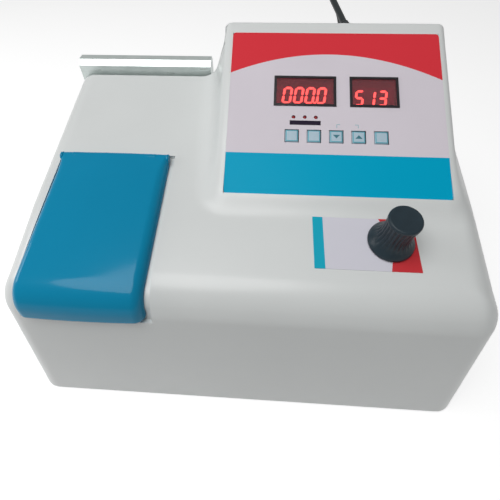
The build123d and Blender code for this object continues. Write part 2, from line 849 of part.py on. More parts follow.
def sector_gear():
    reach = int(sector_half_angle / 360 * sector_teeth)
    rim = gear_outline(sector_teeth, gear_backlash, -reach, reach)
    hub_radius = 9.0
    half = hub_radius - 1.0
    outline = make_face(Polyline((0, -half), *rim, (0, half), close=True))
    gear = extrude(outline, gear_face) + rod(hub_radius, gear_face)
    window = Pos(32, 0, -1) * extrude(fillet(Rectangle(18, 16).vertices(), 3), gear_face + 2)
    gear = gear - window - Pos(0, 0, -1) * rod(grating_shaft_radius + 0.02, 20)
    turn = math.degrees(sector_angle) + 180
    return slope_frame * Pos(sector_x, sector_v, -gear_depth - gear_face - 0.5) * Rot(0, 0, turn) * gear


# Wavelength knob


def wavelength_knob():
    skirt, cap, high = knob_skirt_radius, knob_cap_radius, knob_height
    waist = cap - 0.9
    outline = [(0, knob_low), (skirt - 0.6, knob_low), (skirt, knob_low + 0.6), (skirt, knob_low + 2.6),
               (skirt - 1.2, knob_low + 4.0), (waist + 1.6, 9.5), (waist, 13.0), (waist, high - 9),
               (cap, high - 4), (cap, high - 1.2), (cap - 1.2, high), (0, high)]
    profile = Plane.XZ * make_face(Polyline(*outline, close=True))
    knob = revolve(profile, Axis.Z)
    grooves = []
    for i in range(knob_flutes):
        angle = 360 / knob_flutes * i
        grooves.append(Rot(0, 0, angle) * Pos(cap + 0.45, 0, 10.5) * rod(1.0, high))
    knob = knob - grooves
    knob = knob - rod(10.5, knob_low + 1.6) - rod(shaft_radius + 0.02, high - 6)
    grub = Pos(0, 0, 7) * Rot(90, 0, 0) * rod(2.02, skirt + 2)
    return slope_frame * Pos(knob_x, knob_v, 0) * (knob - grub)


def knob_set_screw():
    grub = Pos(0, 0, 7) * Rot(90, 0, 0) * (Pos(0, 0, shaft_radius) * rod(2.0, 6.0))
    socket = Pos(0, 0, 7) * Rot(90, 0, 0) * (Pos(0, 0, shaft_radius + 4) * rod(1.0, 4.0))
    return slope_frame * Pos(knob_x, knob_v, 0) * (grub - socket)


def knob_shaft():
    low = -mono_top_depth + 0.7
    return slope_rod(knob_x, knob_v, low, knob_height - 7, shaft_radius)


def shaft_bush():
    body = slope_rod(knob_x, knob_v, -wall - 8, 1.2, bush_radius)
    flange = slope_rod(knob_x, knob_v, 0, 1.2, bush_radius + 2.5)
    bore = slope_rod(knob_x, knob_v, -wall - 9, 5, shaft_radius + shaft_clearance)
    nut = extrude(RegularPolygon(8.5, 6), 3.0) - Pos(0, 0, -1) * rod(bush_radius + 0.02, 6)
    nut = slope_frame * Pos(knob_x, knob_v, -wall - 3.2) * nut
    return [body + flange - bore, nut]




def knob_decal():
    x, y = (decal_left + decal_right) / 2, (decal_front + decal_rear) / 2
    sheet = Box(decal_right - decal_left, (decal_rear - decal_front) * up_slope, decal_thickness)
    sheet = on_slope(x, y, decal_thickness / 2 + 0.02) * sheet
    return sheet - slope_rod(knob_x, knob_v, -1, 2, bush_radius + 2.8)


# Display pod
fascia_low = -panel_film - fascia_thickness
board_out = fascia_low - 8.3
windows = ((four_digit_across, four_digit_width), (three_digit_across, three_digit_width))


def panel_holes(depth):
    """The openings that the fascia and its printed film share."""
    holes = []
    for across, width in windows:
        holes.append(on_panel(across, window_middle_up, 0) * Box(width + 0.1, window_height + 0.1, depth))
    for across in key_across:
        side = key_side + 2 * key_gap
        holes.append(on_panel(across, key_up, 0) * Box(side, side, depth))
    for across in led_across:
        holes.append(on_panel(across, led_up, -depth / 2) * rod(led_radius + 0.2, depth))
    return holes


def panel_plate(grow, low, high):
    """A round-cornered plate of the panel's size between two heights over the face."""
    outline = RectangleRounded(panel_width + grow, panel_height + grow, panel_corner)
    return on_panel(0, 0, low) * extrude(outline, high - low)


def panel_overlay():
    return panel_plate(0, -panel_film, 0) - panel_holes(20)


def fascia_plate():
    return panel_plate(0, fascia_low, -panel_film) - panel_holes(20)


def display_bezels():
    frames = []
    for across, width in windows:
        outer = Box(width, window_height, 2.9)
        inner = Box(width - 2 * bezel_width, window_height - 2 * bezel_width, 4)
        frame = on_panel(across, window_middle_up, fascia_low + 1.45) * (outer - inner)
        frames.append(frame)
    return frames


def display_windows():
    panes = []
    for across, width in windows:
        pane = Box(width - 2 * bezel_width - 0.04, window_height - 2 * bezel_width - 0.04, window_thickness)
        panes.append(on_panel(across, window_middle_up, fascia_low + window_thickness / 2 + 0.1) * pane)
    return panes


def digit_module(across, digits):
    width = 12.6 * digits
    gap = fascia_low - 0.3 - board_out
    body = Box(width, 19.0, gap)
    return on_panel(across, display_up, board_out + gap / 2) * body


def indicator_leds():
    lamps = []
    for across in led_across:
        height = -0.2 - board_out - led_radius
        body = on_panel(across, led_up, board_out) * rod(led_radius, height)
        lamps.append(body + on_panel(across, led_up, board_out + height) * Sphere(led_radius))
    return lamps


def display_board():
    width, height = display_board_width, display_board_height
    board = on_panel(0, panel_hole_up, board_out - board_thickness / 2) * Box(width, height, board_thickness)
    for x in (-60, -20, 20, 60):
        chip = on_panel(x, panel_hole_up - 6, board_out - board_thickness - 2) * Box(22, 9, 4)
        board = board + chip
    return board


def board_spacers():
    posts = []
    width, height = display_board_width, display_board_height
    for i in (-1, 1):
        for j in (-1, 1):
            place = on_panel(i * (width / 2 - 6), panel_hole_up + j * (height / 2 - 6), board_out)
            posts.append(place * rod(3.0, fascia_low - board_out))
    return posts


def panel_key(across):
    top = 0.5
    cap = on_panel(across, key_up, top - key_thickness / 2) * Box(key_side, key_side, key_thickness)
    low = fascia_low - 1.1
    web = on_panel(across, key_up, (low + top - 1) / 2) * Box(key_side - 1, key_side - 1, top - 1 - low)
    flange = on_panel(across, key_up, low + 0.4) * Box(key_side + 2.4, key_side + 2.4, 0.8)
    stem = on_panel(across, key_up, stem_low) * rod(2.0, low - stem_low + 0.1)
    return cap + web + flange + stem


stem_low = board_out + switch_body_height + plunger_height + key_travel + 0.25


def key_switches():
    switches = []
    for across in key_across:
        body = on_panel(across, key_up, board_out + switch_body_height / 2) * Box(6, 6, switch_body_height)
        plunger = on_panel(across, key_up, board_out + switch_body_height) * rod(1.7, plunger_height)
        switches.append(body + plunger)
    return switches


# Electronics on the chassis
def main_board():
    low = plate_top + board_lift
    board = block(board_x - board_width / 2, board_x + board_width / 2, board_y - board_depth / 2,
                  board_y + board_depth / 2, low, low + board_thickness)
    top = low + board_thickness
    for x in (-40, -24):
        board = board + Pos(board_x + x, board_y + 12, top) * rod(6.3, 25)
    for x in (2, 26):
        board = board + block(board_x + x, board_x + x + 18, board_y - 8, board_y + 2, top, top + 4)
    for fin in range(6):
        x = board_x - 40 + fin * 5
        board = board + block(x, x + 1.6, board_y - 22, board_y - 8, top, top + 24)
    board = board + block(board_x - 40, board_x - 13.4, board_y - 16.5, board_y - 14.5, top, top + 24)
    return board + block(board_x + 6, board_x + 46, board_y + 12, board_y + 20, top, top + 12)




def power_transformer():
    x, y = transformer_x, transformer_y
    core = block(x - 28, x + 28, y - 10, y + 10, plate_top + 1.5, plate_top + 48)
    bobbin = block(x - 15, x + 15, y - 21, y + 21, plate_top + 10, plate_top + 40)
    bobbin = fillet(bobbin.edges().filter_by(Axis.Z), 4.0)
    foot = block(x - 38, x + 38, y - 9, y + 9, plate_top, plate_top + 1.6)
    return core + bobbin + foot


# Rear wall fittings
def rear_seat(low, high):
    """The nearest y at which a flat flange lies clear of the leaning rear wall."""
    return rear_y(min(low, high) - foot_height) + 0.05


switch_wall_y = rear_seat(switch_z - switch_height / 2 - 2, switch_z)
rocker_y = switch_wall_y - 5.0


def power_switch_body():
    w, h = switch_width, switch_height
    y = switch_wall_y
    flange = block(switch_x - w / 2 - 1.5, switch_x + w / 2 + 1.5, y, y + 2,
                   switch_z - h / 2 - 1.5, switch_z + h / 2 + 1.5)
    flange = fillet(flange.edges().filter_by(Axis.Y), 1.5)
    case = block(switch_x - w / 2 + 0.3, switch_x + w / 2 - 0.3, y - 20, y + 0.1,
                 switch_z - h / 2 + 0.3, switch_z + h / 2 - 0.3)
    hollow = block(switch_x - w / 2 + 2.5, switch_x + w / 2 - 2.5, y - 15, y + 3,
                   switch_z - h / 2 + 2.0, switch_z + h / 2 - 2.0)
    body = flange + case - hollow
    for side in (-1, 1):
        tab = switch_x + side * 5
        body = body + block(tab - 0.4, tab + 0.4, y - 28, y - 19.9, switch_z - 3, switch_z + 3)
    return body - along_x(switch_x - w / 2 + 1.2, switch_x + w / 2 - 1.2, rocker_y, switch_z, 1.56)


def power_rocker():
    w = switch_width / 2 - 2.5 - 0.35
    half = switch_height / 2 - 2.0 - 2.2
    lean = math.radians(rocker_throw)
    drop = math.tan(lean) * half
    outline = [(-1.5, -half), (4.6, -half), (4.6 + 1.9 * drop, half), (-1.5, half), (-4, 0)]
    side = make_face(Polyline(*outline, close=True))
    face = Plane(origin=(switch_x - w, rocker_y, switch_z), x_dir=(0, 1, 0), z_dir=(1, 0, 0))
    rocker = extrude(face * side, 2 * w)
    pins = along_x(switch_x - w - 1.4, switch_x + w + 1.4, rocker_y, switch_z, 1.5)
    return rocker + pins


fuse_wall_y = rear_seat(fuse_z - 12, fuse_z)


def fuse_holder():
    y = fuse_wall_y
    body = Pos(fuse_x, y - 32, fuse_z) * Rot(-90, 0, 0) * rod(fuse_radius - 0.15, 32.1)
    flange = Pos(fuse_x, y, fuse_z) * Rot(-90, 0, 0) * rod(9.0, 2.0)
    cap = Pos(fuse_x, y + 2, fuse_z) * Rot(-90, 0, 0) * rod(6.5, 6.0)
    slot = Pos(fuse_x, y + 8, fuse_z) * Box(9, 3, 1.4)
    return body + flange + cap - slot


# Mains lead
boot_wall_y = rear_seat(boot_wall_z - 12, boot_wall_z) + 0.05
boot_base = Vector(boot_x, boot_wall_y + 3.0, boot_wall_z)


def lead_plane_x(y, z):
    """How far across the lead lies where it arches up behind the pod."""
    return 84.1 - 0.0706 * (y - 285.0) - 0.712 * (z - 247.0)


boot_aim = (Vector(lead_plane_x(*arch[0]), *arch[0]) - boot_base).normalized()
boot_tip = boot_base + boot_aim * (boot_length - 3.0)


def cord_gland():
    flange = Pos(boot_x, boot_wall_y, boot_wall_z) * Rot(-90, 0, 0) * rod(10.0, 3.0)
    neck = Pos(boot_x, boot_wall_y - 9, boot_wall_z) * Rot(-90, 0, 0) * rod(5.8, 10)
    nut = extrude(RegularPolygon(8.5, 6), 3.5) - Pos(0, 0, -1) * rod(5.82, 6)
    nut = Pos(boot_x, boot_wall_y - 8.6, boot_wall_z) * Rot(-90, 0, 0) * nut
    start = Plane(origin=boot_base - boot_aim * 1.5, z_dir=boot_aim)
    end = Plane(origin=boot_tip, z_dir=boot_aim)
    cone = loft([start * Circle(7.0), end * Circle(lead_diameter / 2 + 1.0)], ruled=True)
    return [flange + neck + cone, nut]


lead_radius = lead_diameter / 2
rest_z = lead_radius + 0.05


def lead_route():
    """The lead from the boot to the start of its coil."""
    route = [tuple(boot_tip)]
    route += [(lead_plane_x(y, z), y, z) for y, z in arch]
    route += drop_high + drop_low
    route += [(coil_x + coil_outer, 396.0, rest_z + 0.3), (coil_x + coil_outer + 0.4, 374.0, rest_z)]
    return route + [(coil_x + coil_outer, coil_back, rest_z)]


def route_radii(points):
    """The arc at each corner of a route, as large as its two runs allow."""
    radii = []
    for before, here, after in zip(points, points[1:], points[2:]):
        one, two = Vector(*here) - Vector(*before), Vector(*after) - Vector(*here)
        turn = one.get_angle(two)
        shorter = min(one.length, two.length)
        radii.append(0.45 * shorter / math.tan(math.radians(turn / 2)))
        if turn > 60 or max(one.length, two.length) > 2.1 * shorter:
            print("route corner", here, "turn", round(turn), "runs", round(one.length), round(two.length))
    return radii


def mains_cord():
    points = lead_route()
    radii = route_radii(points)
    path = FilletPolyline(*points, radius=radii)
    start = Plane(origin=points[0], z_dir=Vector(*points[1]) - Vector(*points[0]))
    tube = sweep(start * Circle(lead_radius), path=path)
    print("cord radii", [round(r) for r in radii], "length", round(path.length, 1))
    expected = math.pi * lead_radius ** 2 * path.length
    print("cord volume", round(tube.volume), "section by length", round(expected))
    return tube


def coil_point(turn):
    """The coil's middle line: in on the lower layer, up a layer in half a turn, and out again."""
    inner = coil_outer - coil_pitch * coil_turns
    if turn <= coil_turns:
        radius, z = coil_outer - coil_pitch * turn, rest_z
    elif turn <= coil_turns + 0.5:
        share = (turn - coil_turns) * 2
        radius, z = inner, rest_z + coil_layer * share * share * (3 - 2 * share)
    else:
        radius, z = inner + coil_pitch * (turn - coil_turns - 0.5), rest_z + coil_layer
    angle = -2 * math.pi * turn
    return Vector(coil_x + radius * math.cos(angle), coil_back + radius * math.sin(angle), z)


def coil_heading(turn):
    """The direction along the coil, level at its two ends."""
    step = 1e-4
    ahead = coil_point(min(turn + step, coil_all_turns)) - coil_point(max(turn - step, 0))
    return ahead.normalized()


coil_all_turns = 2 * coil_turns + 0.5


def biarc(start, start_aim, end, end_aim):
    """Two arcs that join two points along two directions."""
    across = end - start
    both = start_aim + end_aim
    spread = 2 * (1 - start_aim.dot(end_aim))
    along = across.dot(both)
    reach = (math.sqrt(along * along + spread * across.dot(across)) - along) / spread
    one, two = start + start_aim * reach, end - end_aim * reach
    middle = (one + two) * 0.5
    first = TangentArc(start, middle, tangent=start_aim)
    return [first, TangentArc(middle, end, tangent=(two - one).normalized())]


def cord_coil():
    steps = int(coil_all_turns * 4)
    edges = []
    first = Vector(0, -1, 0)
    tail_aim = Vector(0, 1, 0)
    for i in range(steps):
        one, two = i / 4, (i + 1) / 4
        start_aim = first if i == 0 else coil_heading(one)
        end_aim = tail_aim if i == steps - 1 else coil_heading(two)
        for arc in biarc(coil_point(one), start_aim, coil_point(two), end_aim):
            edges += arc.edges()
    end = coil_point(coil_all_turns)
    edges += Line(end, end + tail_aim * coil_tail).edges()
    path = Wire(edges)
    start = Plane(origin=coil_point(0), z_dir=first)
    tube = sweep(start * Circle(lead_radius), path=path)
    print("coil length", round(path.length, 1), "least gap", round(coil_gap(), 2), "solid", tube.is_valid)
    expected = math.pi * lead_radius ** 2 * path.length
    print("coil volume", round(tube.volume), "section by length", round(expected))
    return tube




def coil_gap():
    """The least gap between one turn of the coil and the rest of it, on points."""
    count = 60
    total = int(coil_all_turns * count)
    points = [coil_point(i / count) for i in range(total + 1)]
    least = 1e9
    for i, here in enumerate(points):
        for there in points[i + count // 3:]:
            least = min(least, (there - here).length)
    return least - lead_diameter


plug_place = coil_point(coil_all_turns) + Vector(0, coil_tail, 0)


def mains_plug():
    """A moulded plug that lies on the bench, its sleeve towards the coil."""
    y = plug_place.Y
    start = Plane(origin=plug_place, z_dir=(0, 1, 0))
    end = start.offset(20)
    sleeve = loft([start * Circle(lead_radius + 1.2), end * Circle(7.0)], ruled=True)
    body = block(plug_place.X - plug_width / 2, plug_place.X + plug_width / 2, y + 18, y + plug_length,
                 0.02, 2 * plug_place.Z - 0.02)
    body = fillet(body.edges().filter_by(Axis.Y), 6.0)
    body = chamfer(body.faces().sort_by(Axis.Y)[0].edges(), 2.0)
    return sleeve + body


def plug_pins():
    front = plug_place.Y + plug_length
    pins = []
    for across in (-6.35, 6.35):
        x = plug_place.X + across
        pins.append(block(x - 0.8, x + 0.8, front, front + 17, plug_place.Z - 0.5, plug_place.Z + 5.8))
    earth = Pos(plug_place.X, front, plug_place.Z - 5.5) * Rot(-90, 0, 0) * rod(2.4, 20)
    return pins + [earth]


NODES = {
    "housing_shell": housing_shell,
    "base_plate": base_plate,
    "rubber_feet": rubber_feet,
    "foot_screws": foot_screws,
    "housing_screws": housing_screws,
    "sample_lid": sample_lid,
    "lid_light_seal": lid_light_seal,
    "lid_hinge_brackets": lid_hinge_brackets,
    "lid_hinge_pin": lambda: hinge_bar(lid_left + 2, lid_right - 2, hinge_pin_radius),
    "sample_well": sample_well,
    "cuvette_holder": cuvette_holder,
    "detector_housing": detector_housing,
    "photodiode": photodiode,
    "lamp_house": lamp_house,
    "lamp_socket": lamp_socket,
    "halogen_lamp": halogen_lamp,
    "condenser_lens": condenser_lens,
    "lamp_house_cover": lamp_house_cover,
    "cover_screws": cover_screws,
    "monochromator_casting": monochromator_casting,
    "monochromator_cover": monochromator_cover,
    "slit_plates": slit_plates,
    "collimating_mirror": collimating_mirror,
    "mirror_mount": mirror_mount,
    "grating_table": grating_table,
    "diffraction_grating": diffraction_grating,
    "grating_shaft": grating_shaft,
    "sector_gear": sector_gear,
    "drive_pinion": drive_pinion,
    "wavelength_knob": wavelength_knob,
    "knob_set_screw": knob_set_screw,
    "knob_shaft": knob_shaft,
    "shaft_bush": shaft_bush,
    "knob_decal": knob_decal,
    "panel_overlay": panel_overlay,
    "fascia_plate": fascia_plate,
    "display_bezels": display_bezels,
    "display_windows": display_windows,
    "four_digit_display": lambda: digit_module(four_digit_across - 0.8, 4),
    "three_digit_display": lambda: digit_module(three_digit_across - 1.4, 3),
    "indicator_leds": indicator_leds,
    "display_board": display_board,
    "board_spacers": board_spacers,
    "key_switches": key_switches,
    "main_board": main_board,
    "power_transformer": power_transformer,
    "power_switch_body": power_switch_body,
    "power_rocker": power_rocker,
    "fuse_holder": fuse_holder,
    "cord_gland": cord_gland,
    "mains_cord": mains_cord,
    "cord_coil": cord_coil,
    "mains_plug": mains_plug,
    "plug_pins": plug_pins,
}
for number, across in enumerate(key_across, 1):
    NODES[f"panel_key_{number}"] = lambda across=across: panel_key(across)

for node, make in NODES.items():
    save(node, make())
print(len(NODES), "nodes, hinge line", round(hinge_y - middle_y, 2), round(hinge_z, 2))
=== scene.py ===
import json
import math
from functools import partial

import bmesh
import bpy
import numpy as np
from mathutils import Matrix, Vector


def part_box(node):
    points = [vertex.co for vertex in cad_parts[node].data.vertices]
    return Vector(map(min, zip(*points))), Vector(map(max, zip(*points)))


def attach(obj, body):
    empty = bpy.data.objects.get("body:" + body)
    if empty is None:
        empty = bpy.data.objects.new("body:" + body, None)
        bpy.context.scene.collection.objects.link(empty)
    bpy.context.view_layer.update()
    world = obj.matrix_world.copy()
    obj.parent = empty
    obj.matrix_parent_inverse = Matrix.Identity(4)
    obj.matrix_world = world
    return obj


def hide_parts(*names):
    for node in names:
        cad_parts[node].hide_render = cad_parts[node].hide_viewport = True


bl_info = {
    "name": "Bench Spectrophotometer",
    "version": (1, 0, 0),
    "blender": (4, 5, 0),
    "location": "View3D > Sidebar > Spectrophotometer",
    "description": "Builds the looks of a bench spectrophotometer around its packed frame",
    "category": "Add Mesh",
}

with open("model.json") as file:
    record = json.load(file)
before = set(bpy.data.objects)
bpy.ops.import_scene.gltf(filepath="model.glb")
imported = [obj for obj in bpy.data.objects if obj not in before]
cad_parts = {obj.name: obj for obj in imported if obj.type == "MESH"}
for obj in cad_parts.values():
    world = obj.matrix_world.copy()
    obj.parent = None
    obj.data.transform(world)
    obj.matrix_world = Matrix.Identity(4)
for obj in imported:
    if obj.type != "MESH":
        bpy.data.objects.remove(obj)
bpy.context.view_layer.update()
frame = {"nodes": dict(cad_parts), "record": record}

MM = 0.001
MIDDLE_Y = 148.846

# Frames of the instrument, in millimetres: the sloping top and the face of the display pod
TOP_SLOPE = math.radians(10.0)
FACE_TILT = math.radians(26.56)
FRONT_DRAFT = 0.162
FOOT = 4.0
SHOULDER = 148.6
RISE = math.tan(TOP_SLOPE)
SLOPE_START = FOOT + SHOULDER - RISE * FRONT_DRAFT * SHOULDER
POD_X, POD_Y, POD_Z = 73.5, 188.4, 206.2
TOP_ORIGIN = np.array([0.0, -MIDDLE_Y, SLOPE_START])
FACE_ORIGIN = np.array([POD_X, POD_Y - MIDDLE_Y, POD_Z + FOOT])


def tilted_axes(tilt):
    """Across, up the slope and out of a face that tilts towards the front by tilt."""
    c, s = math.cos(tilt), math.sin(tilt)
    return np.array([[1, 0, 0], [0, c, s], [0, -s, c]])


TOP_AXES = tilted_axes(TOP_SLOPE)
FACE_AXES = tilted_axes(FACE_TILT)
KNOB_PLACE = (113.5, 81.0 / math.cos(TOP_SLOPE))


def on_top(points):
    """Points of the sloping top's own frame, in the instrument's frame."""
    return TOP_ORIGIN + np.asarray(points, float) @ TOP_AXES


def on_face(points):
    """Points of the pod face's own frame, in the instrument's frame."""
    return FACE_ORIGIN + np.asarray(points, float) @ FACE_AXES


# Meshes from arrays
def quads(rows, columns, wrap_rows=False, wrap_columns=False, start=0):
    """The four corners of each cell of a grid whose points are numbered row by row."""
    r = np.arange(rows if wrap_rows else rows - 1)
    c = np.arange(columns if wrap_columns else columns - 1)
    r, c = (a.ravel() for a in np.meshgrid(r, c, indexing="ij"))
    r1, c1 = (r + 1) % rows, (c + 1) % columns
    return np.stack([r * columns + c, r * columns + c1, r1 * columns + c1, r1 * columns + c], axis=1) + start


def join_grids(name, grids, sharp=None, uvs=None):
    """An object at the origin from pairs of points in millimetres and lists of corner numbers."""
    points, faces, start = [], [], 0
    for grid, cells in grids:
        grid = np.asarray(grid, float).reshape(-1, 3)
        points.append(grid)
        for part in cells:
            faces += (np.asarray(part) + start).tolist()
        start += len(grid)
    mesh = bpy.data.meshes.new(name)
    mesh.from_pydata((np.concatenate(points) * MM).tolist(), [], faces)
    if uvs is not None:
        layer = mesh.uv_layers.new(name="surface")
        corner = np.zeros(len(mesh.loops), int)
        mesh.loops.foreach_get("vertex_index", corner)
        uv = np.concatenate([one.reshape(-1, 2) for one in uvs])
        layer.data.foreach_set("uv", uv[corner].ravel())
    mesh.validate()
    mesh.shade_smooth()
    if sharp is not None:
        mesh.set_sharp_from_angle(angle=math.radians(sharp))
    piece = bpy.data.objects.new(name, mesh)
    bpy.context.scene.collection.objects.link(piece)
    return piece


def outward(piece):
    """Turns the faces of a closed piece outwards."""
    work = bmesh.new()
    work.from_mesh(piece.data)
    bmesh.ops.remove_doubles(work, verts=work.verts, dist=1e-7)
    bmesh.ops.recalc_face_normals(work, faces=work.faces)
    work.to_mesh(piece.data)
    work.free()
    return piece


def closed(name, grids, **options):
    """One object from closed grids, its faces turned outwards."""
    return outward(join_grids(name, grids, **options))


def closed_turn(profile, steps=64, bend=None):
    """A closed surface of revolution: radius and height along a profile, carried round the z axis.

    Returns the points, station by station with the two poles last, and cells with a fan at each end."""
    profile = np.asarray(profile, float)
    angle = np.linspace(0, 2 * math.pi, steps, endpoint=False)
    radius, height = (np.repeat(profile[:, i:i + 1], steps, axis=1) for i in (0, 1))
    if bend is not None:
        radius = bend(radius, height, angle[None, :])
    points = np.stack([radius * np.cos(angle), radius * np.sin(angle), height], axis=-1).reshape(-1, 3)
    poles = [[0, 0, profile[0][1]], [0, 0, profile[-1][1]]]
    count = len(points)
    first = np.arange(steps)
    after = (first + 1) % steps
    last = count - steps
    low = np.stack([np.full(steps, count), after, first], axis=1)
    high = np.stack([np.full(steps, count + 1), last + first, last + after], axis=1)
    return np.concatenate([points, poles]), [quads(len(profile), steps, wrap_columns=True), low, high]


def tube_cells(count):
    """The cells of two rings of points, one after the other: both ends and the sides between."""
    first = np.arange(count)
    after = (first + 1) % count
    sides = np.stack([first, after, after + count, first + count], axis=1)
    return [first[::-1][None, :], (first + count)[None, :], sides]


def prism(ring, low, high):
    """A closed block from a flat ring of points at two levels."""
    ring = np.asarray(ring, float)
    levels = [np.column_stack([ring, np.full(len(ring), level)]) for level in (low, high)]
    return np.concatenate(levels), tube_cells(len(ring))


def shell_cells(rows, columns):
    """The cells of two equal grids, one after the other, and of the rim that joins their edges."""
    count = rows * columns
    index = np.arange(count).reshape(rows, columns)
    loop = np.concatenate([index[0, :-1], index[:-1, -1], index[-1, :0:-1], index[:0:-1, 0]])
    after = np.roll(loop, -1)
    strip = np.stack([loop, after, after + count, loop + count], axis=1)
    return [quads(rows, columns), quads(rows, columns, start=count)[:, ::-1], strip]


def along_axis(points, place, aim):
    """Turned points moved so that their z axis starts at place and runs along aim."""
    aim = np.asarray(aim, float) / np.linalg.norm(aim)
    side = np.cross([0.0, 0.0, 1.0] if abs(aim[2]) < 0.9 else [0.0, 1.0, 0.0], aim)
    side /= np.linalg.norm(side)
    up = np.cross(aim, side)
    return np.asarray(place, float) + np.asarray(points, float) @ np.stack([side, up, aim])


def smooth_curve(knots, count):
    """A smooth profile through knots, by a monotone cubic on the distance along them."""
    knots = np.asarray(knots, float)
    step = np.concatenate([[0], np.cumsum(np.linalg.norm(np.diff(knots, axis=0), axis=1))])
    at = np.linspace(0, step[-1], count)
    slopes = np.diff(knots, axis=0) / np.diff(step)[:, None]
    inner = np.where(slopes[:-1] * slopes[1:] > 0,
                     2 * slopes[:-1] * slopes[1:] / (slopes[:-1] + slopes[1:] + 1e-12), 0)
    ends = np.concatenate([slopes[:1], inner, slopes[-1:]])
    i = np.clip(np.searchsorted(step, at, side="right") - 1, 0, len(step) - 2)
    h = (step[i + 1] - step[i])[:, None]
    t = (at[:, None] - step[i][:, None]) / h
    return ((2 * t**3 - 3 * t**2 + 1) * knots[i] + (t**3 - 2 * t**2 + t) * h * ends[i]
            + (3 * t**2 - 2 * t**3) * knots[i + 1] + (t**3 - t**2) * h * ends[i + 1])


# Materials
def linear(colour):
    """An sRGB hex colour as linear red, green, blue and alpha."""
    values = np.array([int(colour[i:i + 2], 16) for i in (1, 3, 5)]) / 255
    values = np.where(values <= 0.04045, values / 12.92, ((values + 0.055) / 1.055) ** 2.4)
    return (*values.tolist(), 1.0)


def as_colour(colour):
    """A colour given as an sRGB hex text or as linear red, green, blue and alpha."""
    return linear(colour) if isinstance(colour, str) else tuple(colour)


def shaded(colour, share):
    """A colour darkened to a share of its light."""
    return (*(value * share for value in tuple(colour)[:3]), 1.0)


def add(tree, kind, sets=None, links=None, **attributes):
    """Adds a node: its attributes, its sockets' values, and links to its sockets from others'."""
    node = tree.nodes.new(kind)
    for key, value in attributes.items():
        setattr(node, key, value)
    for key, value in (sets or {}).items():
        node.inputs[key].default_value = value
    for key, source in (links or {}).items():
        tree.links.new(source, node.inputs[key])
    return node


def calc(operation, tree, first, second=None, clamp=False):
    """One arithmetic step between sockets or numbers."""
    sets, links = {}, {}
    for index, value in enumerate((first, second)):
        if value is None:
            continue
        if isinstance(value, (int, float)):
            sets[index] = value
        else:
            links[index] = value
    return add(tree, "ShaderNodeMath", sets, links, operation=operation, use_clamp=clamp).outputs[0]


times, plus, minus, above, below = (
    partial(calc, step) for step in ("MULTIPLY", "ADD", "SUBTRACT", "GREATER_THAN", "LESS_THAN"))


def mixed(tree, share, first, second):
    """A colour between two colours or sockets by a share."""
    node = tree.nodes.new("ShaderNodeMix")
    node.data_type = "RGBA"
    for socket, value in ((node.inputs["Factor"], share), (node.inputs[6], first), (node.inputs[7], second)):
        if isinstance(value, bpy.types.NodeSocket):
            tree.links.new(value, socket)
        else:
            socket.default_value = value
    return node.outputs[2]


def start_material(name):
    """A material with its shader, its output and the object's own coordinates."""
    material = bpy.data.materials.new(name)
    material.use_nodes = True
    tree = material.node_tree
    tree.nodes.clear()
    shader = add(tree, "ShaderNodeBsdfPrincipled")
    add(tree, "ShaderNodeOutputMaterial", links={"Surface": shader.outputs[0]})
    place = add(tree, "ShaderNodeTexCoord")
    return material, tree, shader, place


def speckle(tree, coordinates, size_mm, detail=2.0):
    """Soft random grain of a real size in millimetres."""
    return add(tree, "ShaderNodeTexNoise", {"Scale": 1 / (size_mm * MM), "Detail": detail, "Roughness": 0.55},
               {"Vector": coordinates}).outputs["Fac"]


def worn(tree, shader, share, roughness, spread):
    """Lets a shader's roughness wander about its mean."""
    low = max(roughness - spread, 0.02)
    wear = add(tree, "ShaderNodeMapRange", {"To Min": low, "To Max": roughness + spread}, {"Value": share})
    tree.links.new(wear.outputs[0], shader.inputs["Roughness"])


def bumped(tree, shader, height, depth_mm):
    """Bends a shader's light by a height of a real depth."""
    bump = add(tree, "ShaderNodeBump", {"Strength": 1.0, "Distance": depth_mm * MM}, {"Height": height})
    tree.links.new(bump.outputs[0], shader.inputs["Normal"])


def plain_finish(name, colour, shade, roughness, tint_mm, grain_mm, grain_depth, spread=0.06, metallic=0.0,
                 ior=None, coat=0.0, coat_roughness=0.1, stretch=None, **sockets):
    """A surface of two near colours, worn roughness and fine grain, each of a real size."""
    material, tree, shader, place = start_material(name)
    coordinates = place.outputs["Object"]
    drawn = coordinates
    if stretch is not None:
        drawn = add(tree, "ShaderNodeMapping", {"Scale": stretch}, {"Vector": coordinates}).outputs[0]
    cloud = speckle(tree, coordinates, tint_mm, 4.0)
    tree.links.new(mixed(tree, cloud, as_colour(colour), as_colour(shade)), shader.inputs["Base Color"])
    worn(tree, shader, speckle(tree, drawn, grain_mm * 6, 3.0), roughness, spread)
    bumped(tree, shader, speckle(tree, drawn, grain_mm), grain_depth)
    values = {"Metallic": metallic, "Coat Weight": coat, "Coat Roughness": coat_roughness}
    if ior is not None:
        values["IOR"] = ior
    for key, value in sockets.items():
        values[key.replace("_", " ").title().replace("Ior", "IOR")] = value
    for key, value in values.items():
        shader.inputs[key].default_value = value
    return material


